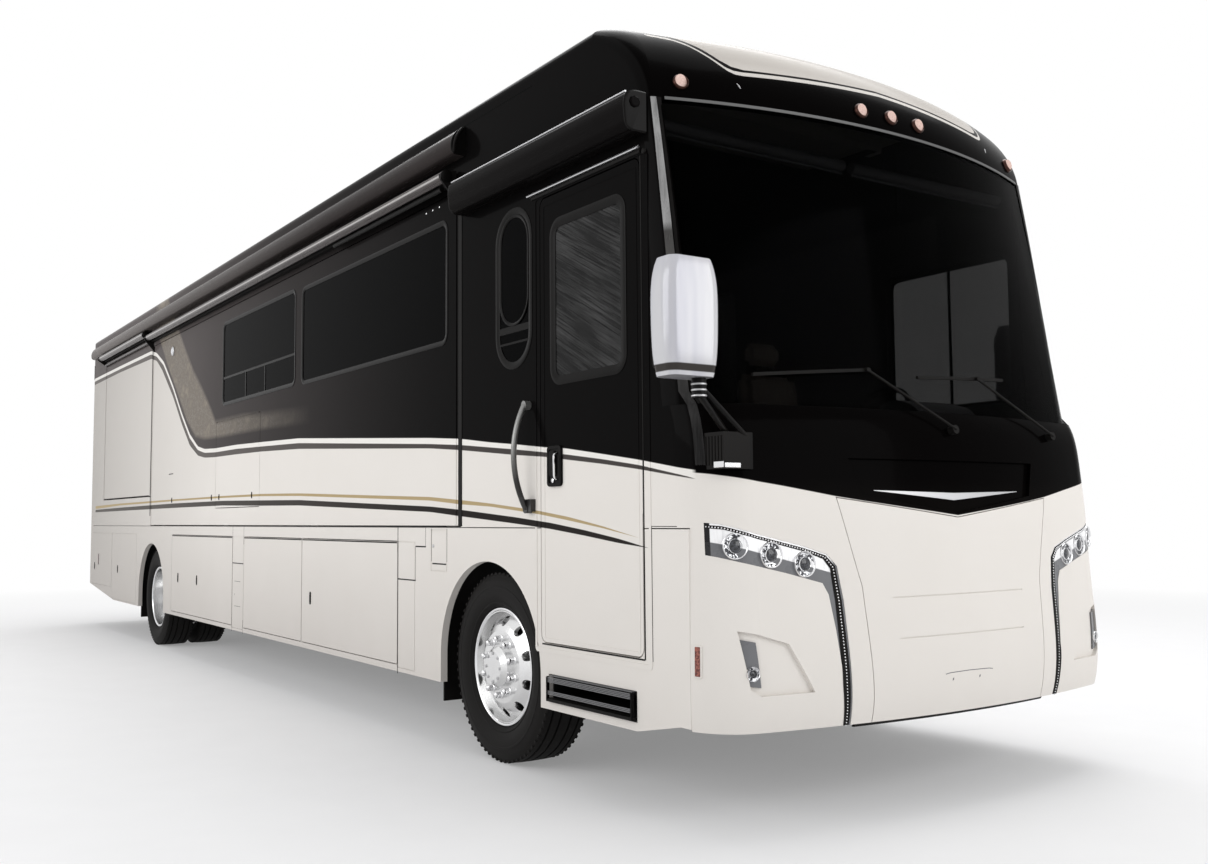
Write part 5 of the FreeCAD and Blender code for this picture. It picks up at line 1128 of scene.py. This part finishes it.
build("porch_light_rim", satin_metal,
      (turned, [(0.046, -0.0005), (0.046, 0.008), (0.040, 0.012), (0.036, 0.010), (0.036, -0.0005)], PORCH, RIGHT, 32,
       True), body="front_slide_room", slot="bright")
build("porch_light", clear_lens,
      (turned, [(0.0355, 0.0), (0.0355, 0.009), (0.026, 0.017), (0.012, 0.021), (0, 0.022)], PORCH, RIGHT, 28),
      body="front_slide_room", slot="lamp")
for side, sign in SIDES:
    for name, x in (("front", 5.834), ("rear", -5.55)):
        spot, out = Vector((x, sign * HALF, 0.80)), Vector((0, sign, 0))
        if name == "front":
            spot, out = touch(["front_fascia"], (x, sign * 3, 0.676), (0, -sign, 0))
        across = out.cross(Vector((0, 0, 1))).normalized()
        up = across.cross(out).normalized()

        def put(u, v, d):
            return spot + across * u + up * v + out * d

        build(f"{name}_marker_frame_{side}", body_paint if name == "front" else grey_moulding,
              (frame_ring, rounded(-0.019, 0.019, -0.064, 0.064, 0.006, 3),
               rounded(-0.013, 0.013, -0.058, 0.058, 0.003, 3), put, -0.003, 0.0045), slot="bright")
        build(f"{name}_marker_{side}", red_lens,
              (plate, rounded(-0.0128, 0.0128, -0.0578, 0.0578, 0.003, 3), put, -0.003, 0.0052), slot="lamp")
print("step, porch light and markers on")

# %% [markdown]
# ## Awnings and slide toppers
# The long awning and the one over the door live in cases extruded from
# aluminium, so each is one rounded section carried along the coach, with a
# moulded cap on each end. The toppers over the slide-out rooms are a fluted
# tube on end arms. The cases replace plainer ones in the frame; the fluted
# tubes are laid over the frame's rollers and move with their rooms.

# %% Awning finishes and cases
def case_paint(name, fore, aft, from_x, to_x):
    """Anodised case, darker towards the front, with a faint drawn grain along it."""
    bench, x, *_, here = new_bench(name)
    share = x.above((from_x + to_x) / 2, (to_x - from_x) / 2)
    drawn = bench.specks(bench.stretched(here, (0.05, 1, 1)), 160.0, 3.0)
    tone = bench.mix(drawn * 0.35, bench.mix(share, aft, fore), (0.006, 0.0055, 0.0055))
    return bench.finish(tone, drawn * 0.12 + 0.20, normal=bench.bump(drawn, 0.05, 0.0006), specular_ior_level=0.015)


patio_finish = case_paint("patio_case_finish", srgb(50, 45, 44), srgb(112, 106, 103), -5.0, 2.0)
door_case_finish = case_paint("door_case_finish", srgb(11, 9, 9), srgb(15, 13, 12), 3.0, 5.0)
CAP = 0.0105
CASES = (
    ("patio", -5.805, 3.885, patio_finish, 0.022,
     ((0, 3.222), (-0.066, 3.222), (-0.086, 3.242), (-0.088, 3.288), (-0.070, 3.337), (-0.028, 3.374), (0, 3.389))),
    ("door", 3.898, 5.545, door_case_finish, 0.018,
     ((0, 2.880), (-0.085, 2.880), (-0.109, 2.905), (-0.1175, 2.990), (-0.1075, 3.042), (-0.060, 3.060), (0, 3.060))))
for name, x0, x1, finish, turn, points in CASES:
    path = bent([(0, -HALF + y, z) for y, z in points], turn, 6)
    centre_z = sum(p.z for p in path) / len(path)
    tube = [[Vector((x, p.y, p.z)) for p in path] for x in (x0 + CAP, x1 - CAP)]
    case = build(f"{name}_case", finish, (skin, tube), slot="awning_metal", angle=28)
    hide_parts("awnings")
    caps = []
    for face, back, out in ((x0, x0 + CAP, -1), (x1, x1 - CAP, 1)):
        caps.append((skin, [[Vector((x, -HALF + (p.y + HALF) * s, centre_z + (p.z - centre_z) * s)) for p in path]
                            for x, s in ((face, 0.93), (face - out * 0.004, 1.0), (back, 1.0))]))
    build(f"{name}_case_caps", gloss_trim, *caps, slot="awning_metal", angle=28)
elbow = [(x, -HALF - d, z) for x, d, z in ((3.885, 0.020, 3.372), (3.905, 0.055, 3.335), (3.905, 0.078, 3.280),
                                           (3.885, 0.070, 3.235))]
build("patio_case_trim", black_trim, (block, (-5.79, -HALF - 0.0545, 3.3475), (3.87, -HALF - 0.0525, 3.3515)),
      (rod, bent(elbow, 0.03), 0.008), slot="awning_metal")
build("door_case_boss", door_case_finish,
      (turned, [(0.026, 0), (0.026, 0.006), (0.020, 0.009), (0, 0.009)], (5.545, -HALF - 0.062, 3.005), (1, 0, 0), 8),
      slot="awning_metal", angle=20)
build("door_case_bead", satin_metal, (rod, [(x, -HALF - 0.098, 3.0495) for x in (3.912, 5.53)], 0.0045),
      slot="awning_metal")
print("awning cases drawn")

# %% Fluted topper tubes
TUBE_OUT, FLUTES, FLUTE_LOW, FLUTE_HIGH = 0.070, 26, 0.0285, 0.0305
bench, *_, z, here = new_bench("fluted_metal")
drawn = bench.specks(bench.stretched(here, (0.05, 1, 1)), 120.0, 3.0)
# A bright line along the middle of each tube is a painted highlight.
painted_highlight_band = z.between(3.116, 3.128, 0.002).most(z.between(3.170, 3.182, 0.002))
tone = bench.mix(painted_highlight_band, srgb(72, 65, 64), srgb(196, 193, 191))
fluted_metal = bench.finish(bench.mix(drawn * 0.4, tone, srgb(90, 86, 86)), drawn * 0.12 + 0.22, metallic=0.85)
wave = []
for k in range(FLUTES * 2):
    t, r = math.pi * k / FLUTES, FLUTE_HIGH if k % 2 else FLUTE_LOW
    wave.append((r * math.cos(t), r * math.sin(t)))
TUBE_CAP = [(0.0345, 0.0), (0.0345, 0.004), (0.028, 0.007), (0.012, 0.0085), (0, 0.0085)]
for room, x0, x1, z in (("front", -2.998, 3.794, 3.122), ("rear", -5.305, -3.102, 3.176)):
    build(f"{room}_topper_tube", fluted_metal,
          (skin, [[Vector((x, -HALF - TUBE_OUT + u, z + v)) for u, v in wave] for x in (x0 + 0.016, x1 - 0.016)]),
          body=f"{room}_slide_room", slot="bright", angle=20)
    caps = []
    for x, out in ((x0, -1), (x1, 1)):
        low, high = sorted((x, x - out * 0.030))
        caps += [(turned, TUBE_CAP, (x, -HALF - TUBE_OUT, z), (out, 0, 0), 28),
                 (block, (low, -HALF - 0.103, z - 0.010), (high, -HALF - 0.096, z + 0.010), 0.002)]
    build(f"{room}_topper_caps", gloss_trim, *caps, body=f"{room}_slide_room", slot="awning_metal")
screw = work((turned, [(0.0062, -0.001), (0.0062, 0.0016), (0.004, 0.003), (0, 0.003)], (0, 0, 0), RIGHT, 10))
repeated("topper_screws", row_tree, screw, chrome, "front_slide_room", count=3, start=(3.40, -HALF - 0.0005, 3.008),
         step=(0.085, 0, 0))
build("topper_spring_tube", gloss_trim, (rod, [(x, -HALF - 0.050, 3.070) for x in (2.102, 3.70)], 0.0150),
      body="front_slide_room", slot="awning_metal")
build("rear_topper_rail", fluted_metal, (bar, -5.28, -3.13, 3.088, 3.112, 0.030, 0.004, 2, -0.006),
      body="rear_slide_room", slot="bright")
print("toppers fluted")

# %% [markdown]
# ## Mirrors
# Each mirror is a tall bright housing on a dark stem, with a dark band near
# its foot and the glass on the side that faces the driver. The housing is the
# frame's own, so its bands are painted by height above its foot; the dark band
# and the faint upright streaks on the housing are painted reflections.

# %% Mirror finish and glass
RIGHT_FOOT, LEFT_FOOT = 1.768, 1.860
bench, x, y, z, here = new_bench("mirror_finish")
rise = z - (y.above(0.0) * (LEFT_FOOT - RIGHT_FOOT) + RIGHT_FOOT)
# Faint upright streaks over the housing and the dark band near its foot are painted reflections.
soft = bench.specks(bench.stretched(here, (1.5, 1.5, 0.18)), 7.0, 2.0)
shell = bench.mix(soft.above(0.5, 0.12), srgb(201, 201, 204), srgb(186, 186, 193))
band = bench.mix(rise.between(0.016, 0.044, 0.002), shell, srgb(58, 55, 53))
arm = bench.mix(x.below(5.985, 0.02) * y.below(-1.10), srgb(13, 12, 12), srgb(18, 16, 15))
grain = bench.specks(here, 60.0, 3.0)
mirror_finish = bench.finish(bench.mix(rise.above(0.0), arm, band), rise.above(0.0) * -0.12 + grain * 0.06 + 0.26,
                             metallic=rise.above(0.0) * 0.15, specular_ior_level=0.08)
dress(mirror_finish, "mirrors")
mirror_glass = bright_metal("mirror_glass", (0.62, 0.63, 0.65), 0.03, 0.0)
for side, x, y, z in (("right", 6.035, -1.4775, RIGHT_FOOT), ("left", 5.335, 1.4775, LEFT_FOOT)):
    def back(u, v, d):
        return Vector((x - 0.0705 - d, y + u, z + v))

    build(f"mirror_glass_{side}", mirror_glass,
          (plate, rounded(-0.094, 0.094, 0.120, 0.405, 0.03), back, -0.004, 0.0035),
          (plate, rounded(-0.090, 0.090, 0.030, 0.105, 0.024), back, -0.001, 0.0035), slot="mirror_shell")
    build(f"mirror_rubber_{side}", black_trim,
          *[(frame_ring, rounded(-0.098, 0.098, v0, v1, r), rounded(-0.092, 0.092, v0 + 0.006, v1 - 0.006, r - 0.006),
             back, -0.006, 0.005) for v0, v1, r in ((0.116, 0.409, 0.034), (0.026, 0.109, 0.028))])
STEM_RING = [(0.028, -0.004), (0.0305, -0.002), (0.0305, 0.002), (0.028, 0.004)]
build("mirror_stem_rings", satin_metal,
      *[(turned, STEM_RING, (6.045, -1.420, z), (0, 0, 1), 24) for z in (1.700, 1.722, 1.744)],
      (rod, [(5.922, -1.176, 1.574), (6.040, -1.408, 1.7005)], 0.0068), slot="mirror_shell")
rib = work((block, (-0.0035, -0.0030, -0.058), (0.0035, 0.0018, 0.058), 0.001, 1))
repeated("bracket_ribs", row_tree, rib, black_trim, slot="trim_black", count=8, start=(5.815, -1.235, 1.505),
         step=(0.019, 0, 0))
build("bracket_corner", chrome, (block, (5.905, -1.2385, 1.437), (5.964, -1.2345, 1.462), 0.0015, 1),
      (block, (5.9635, -1.232, 1.437), (5.9670, -1.150, 1.456), 0.0012, 1), slot="bright")
print("mirrors glazed")

# %% [markdown]
# ## Roof and tail
# The roof carries two air conditioners with louvred sides, a lidded vent and a
# row of red clearance lights at the back. The tail has stacked lamps in bright
# rims, and a hooded camera looks back from the curve of the cap. None of this
# shows from the front corner.

# %% Roof fittings
for unit, x in (("front", 1.645), ("rear", -1.825)):
    for side, sign in SIDES:
        wall = touch(["air_conditioners"], (x, sign * 3, 3.70), (0, -sign, 0))[0]
        inner, outer = sorted((0, sign * 0.008))
        slat = work((block, (-0.28, inner - 0.002, -0.004), (0.28, outer + 0.002, 0.004), 0.0015, 1))
        repeated(f"{unit}_cooler_slats_{side}", row_tree, slat, grey_moulding, slot="body_cream", count=5,
                 start=(x, wall.y, 3.665), step=(0, -sign * 0.0035, 0.024))


def lid(u, v, d):
    """Puts (x, y, depth upwards) on the roof vent."""
    return Vector((u, v, 3.6665 + d))


build("roof_vent_lid", grey_moulding, (plate, rounded(-0.300, 0.120, -0.210, 0.210, 0.04), lid, 0.0, 0.010),
      (plate, rounded(-0.270, 0.090, -0.180, 0.180, 0.03), lid, 0.010, 0.016), slot="body_cream")
CLEARANCE_RIM = [(0.034, -0.003), (0.034, 0.006), (0.027, 0.010), (0.026, -0.003)]
CLEARANCE_LENS = [(0.0262, 0.0), (0.0262, 0.007), (0.016, 0.014), (0, 0.017)]
spots = [touch(["rear_cap"], (-8, y, 3.40), (1, 0, 0)) for y in (-1.10, -0.16, 0.0, 0.16, 1.10)]
build("clearance_rims_rear", satin_metal, *[(turned, CLEARANCE_RIM, *spot, 24, True) for spot in spots], slot="bright")
build("clearance_lights_rear", red_lens, *[(turned, CLEARANCE_LENS, *spot, 24) for spot in spots], slot="lamp")
print("roof fitted")

# %% Tail fittings
TAIL_JOINTS = (1.04, 1.20, 1.37)
bench, *_, z, here = new_bench("tail_lamp_finish")
ribs = (z * 700.0).sine() * 0.5 + 0.5
tone = bench.mix(z.above(TAIL_JOINTS[1]), srgb(214, 214, 212), srgb(126, 18, 16))
tone = bench.mix(z.above(TAIL_JOINTS[2]), tone, srgb(196, 100, 28))
tone = bench.mix(z.below(TAIL_JOINTS[0]), tone, srgb(126, 18, 16))
tail_lamp_finish = bench.finish(bench.mix(ribs * 0.3, tone, (0.02, 0.01, 0.01)), ribs * 0.06 + 0.08,
                                normal=bench.bump(ribs, 0.25, 0.001), specular_ior_level=0.5)
dress(tail_lamp_finish, "tail_lamps")
mesh = bmesh.new()
for _, sign in SIDES:
    face = touch(["tail_lamps", "rear_cap"], (-8, sign * 1.035, 1.21), (1, 0, 0))[0].x

    def put(u, v, d):
        return Vector((face + 0.004 - d, sign * u, v))

    frame_ring(mesh, rounded(0.972, 1.098, 0.887, 1.533, 0.026), rounded(0.986, 1.084, 0.901, 1.519, 0.016), put,
               -0.002, 0.004)
    y0, y1 = sorted((sign * 0.986, sign * 1.084))
    for z in TAIL_JOINTS:
        block(mesh, (face - 0.0005, y0, z - 0.004), (face + 0.004, y1, z + 0.004))
fit("tail_lamp_rims", mesh, chrome, slot="bright")
print("tail lamps rimmed")

# %% Rear-view camera
spot = touch(["rear_cap"], (-8, 0.0, 3.40), (1, 0, 0))[0]


def put(u, v, d):
    return Vector((spot.x - d, u, 3.40 + v))


build("camera_hood", gloss_trim, (plate, rounded(-0.055, 0.055, -0.026, 0.026, 0.012), put, -0.020, 0.014),
      (plate, rounded(-0.060, 0.060, 0.024, 0.032, 0.003, 3), put, -0.020, 0.021))
build("camera_lens", dark_lens, (turned, [(0.015, 0.010), (0.015, 0.0165), (0.009, 0.0185), (0, 0.0190)],
                                 (spot.x, 0, 3.398), (-1, 0, 0), 24), slot="lamp")
print("camera on the rear cap at x", round(spot.x, 3))

# %% [markdown]
# ## Driver's and companion's seats
# The two front seats are leather over shaped foam on a pedestal: a seat pad, a
# back pad, a head pad and two arm pads. Foam pushed into a sewn cover bulges
# between its seams, so each pad starts as a smaller block, is remeshed evenly
# and is blown up a little as cloth. Sewn channels are pressed in afterwards.

# %% Leather
bench, *_, here = new_bench("seat_leather")
pores = bench.node("ShaderNodeTexVoronoi", {"feature": "DISTANCE_TO_EDGE"}, {"Vector": here, "Scale": 320.0})
folds = bench.specks(here, 16.0, 5.0)
tone = bench.mix(folds.above(0.5, 0.2), srgb(118, 108, 98), srgb(134, 124, 112))
seat_leather = bench.finish(tone, folds * 0.15 + 0.38, normal=bench.bump(pores.least(0.12) * 4, 0.25, 0.0006),
                            specular_ior_level=0.35)
print("leather tanned")
CLOTH_STEPS, SEAM_WIDE, SEAM_DEEP, EDGE_SHARE = 20, 0.007, 0.008, 0.3


def evaluated(thing):
    """The thing's mesh with its modifiers worked in, and the modifiers taken off."""
    data = bpy.data.meshes.new_from_object(thing.evaluated_get(bpy.context.evaluated_depsgraph_get()))
    thing.modifiers.clear()
    return data


def blown(pillow):
    """The pillow as closed cloth with some pressure inside."""
    cloth = pillow.modifiers.new("cloth", "CLOTH")
    cloth.settings.quality = 4
    cloth.settings.use_pressure = True
    cloth.settings.uniform_pressure_force = 4.0
    cloth.settings.effector_weights.gravity = 0.0
    cloth.point_cache.frame_start, cloth.point_cache.frame_end = 1, CLOTH_STEPS
    for step in range(1, CLOTH_STEPS + 1):
        scene.frame_set(step)
    data = evaluated(pillow)
    scene.frame_set(1)
    return data


def pad(name, low, high, tilt=0.0, channels=(), ease=0.045, swell=0.016, voxel=0.012):
    """A foam pad between two corners, leaned back by tilt about its lower edge."""
    low, high = Vector(low), Vector(high)
    room = Vector((swell, swell, swell)) * 0.6
    mesh = bmesh.new()
    block(mesh, low + room, high - room, ease, 4)
    pillow = bpy.data.objects.new(name + "_form", to_data(name, mesh))
    scene.collection.objects.link(pillow)
    even = pillow.modifiers.new("even", "REMESH")
    even.mode, even.voxel_size = "VOXEL", voxel
    data = pillow.data = evaluated(pillow)
    before = [v.co.copy() for v in data.vertices]
    data = blown(pillow)
    bpy.data.objects.remove(pillow)
    pivot, middle, size = Vector((high.x, 0, low.z)), (low + high) / 2, high - low
    lean = Matrix.Translation(pivot) @ Matrix.Rotation(tilt, 4, "Y") @ Matrix.Translation(-pivot)
    for v, start in zip(data.vertices, before):
        move = v.co - start
        if move.length > swell:
            v.co = start + move.normalized() * swell
        for axis, place in channels:
            near = math.exp(-(((v.co[axis] - place) / SEAM_WIDE) ** 2))
            inward = Vector()
            if axis != 2 and abs(v.co.z - middle.z) > size.z * EDGE_SHARE:
                inward = Vector((0, 0, middle.z - v.co.z))
            elif abs(v.co.x - middle.x) > size.x * EDGE_SHARE:
                inward = Vector((middle.x - v.co.x, 0, 0))
            if inward.length > 0:
                v.co += inward.normalized() * SEAM_DEEP * near
        v.co = lean @ v.co
    piece = settle(name, data, seat_leather, "coach", "seat_leather", 60)
    return piece


# %% Two seats
PEDESTAL = [(0.20, 1.2005), (0.20, 1.222), (0.11, 1.250), (0.085, 1.30), (0.085, 1.44), (0.16, 1.475), (0.16, 1.500)]
ARM_PATH = ((4.310, 1.520), (4.290, 1.640), (4.330, 1.722), (4.560, 1.722))
for side, middle in (("right", -0.62), ("left", 0.62)):
    seams, arms = ((1, middle - 0.15), (1, middle + 0.15)), (middle - 0.290, middle + 0.290)
    pads = [pad(f"seat_pad_{side}", (4.235, middle - 0.250, 1.530), (4.745, middle + 0.250, 1.690), 0.0, seams),
            pad(f"back_pad_{side}", (4.165, middle - 0.245, 1.665), (4.300, middle + 0.245, 2.140), math.radians(-9),
                (*seams, (2, 1.86))),
            pad(f"head_pad_{side}", (4.085, middle - 0.150, 2.150), (4.195, middle + 0.150, 2.310), ease=0.035)]
    pads += [pad(f"arm_pad_{arm}_{side}", (4.285, y - 0.034, 1.715), (4.640, y + 0.034, 1.757), ease=0.015,
                 swell=0.006, voxel=0.009) for arm, y in zip(("near", "far"), arms)]
    moves = [(turned, PEDESTAL, (4.475, middle, 0), (0, 0, 1), 32),
             (block, (4.255, middle - 0.225, 1.490), (4.715, middle + 0.225, 1.536), 0.012)]
    for y in arms:
        moves += [(rod, bent([(x, y, z) for x, z in ARM_PATH], 0.04), 0.013),
                  (rod, [(4.310, y * 0.999, 1.520), (4.310, middle, 1.510)], 0.013)]
    moves += [(rod, [(4.150, y, 2.10), (4.140, y, 2.20)], 0.007) for y in (middle - 0.06, middle + 0.06)]
    for piece in pads + [build(f"seat_frame_{side}", black_trim, *moves, slot="seat_leather")]:
        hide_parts("front_seats")
print("seats upholstered")

# %% [markdown]
# ## Driver's place
# The dashboard is a padded shelf with a hood over the dials. From outside it
# is a dark shape under the glass, so it gets the pieces that catch light: the
# dial hood and rings, the wheel's hub, and sun blinds rolled up at the top.

# %% Dash and blinds
hood = bent([(5.250, 0, 1.742), (5.285, 0, 1.815), (5.380, 0, 1.838), (5.500, 0, 1.800), (5.560, 0, 1.742)], 0.03)
DIAL_RING = [(0.060, -0.004), (0.060, 0.004), (0.052, 0.004), (0.052, -0.004)]
build("dial_hood", grey_moulding, (skin, [[Vector((p.x, y, p.z)) for p in hood] for y in (0.40, 0.42, 0.82, 0.84)]),
      *[(turned, DIAL_RING, (5.262, y, 1.785), (-0.9, 0, 0.4), 32, True) for y in (0.53, 0.71)])
build("sun_blinds", grey_moulding,
      *[(rod, [(5.47, y, z) for y in ends], radius, sides) for ends in ((-1.17, -0.03), (0.03, 1.17))
        for z, radius, sides in ((2.962, 0.028, 16), (2.925, 0.006, 10))])
build("wheel_hub_cover", grey_moulding, (turned, [(0.055, -0.012), (0.055, 0.012), (0.040, 0.022), (0, 0.026)],
                                         (5.045, 0.62, 1.760), (-0.72, 0, 0.69), 28))
print("dash dressed")

low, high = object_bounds()
print("visual box", [round(v, 4) for v in low], [round(v, 4) for v in high])
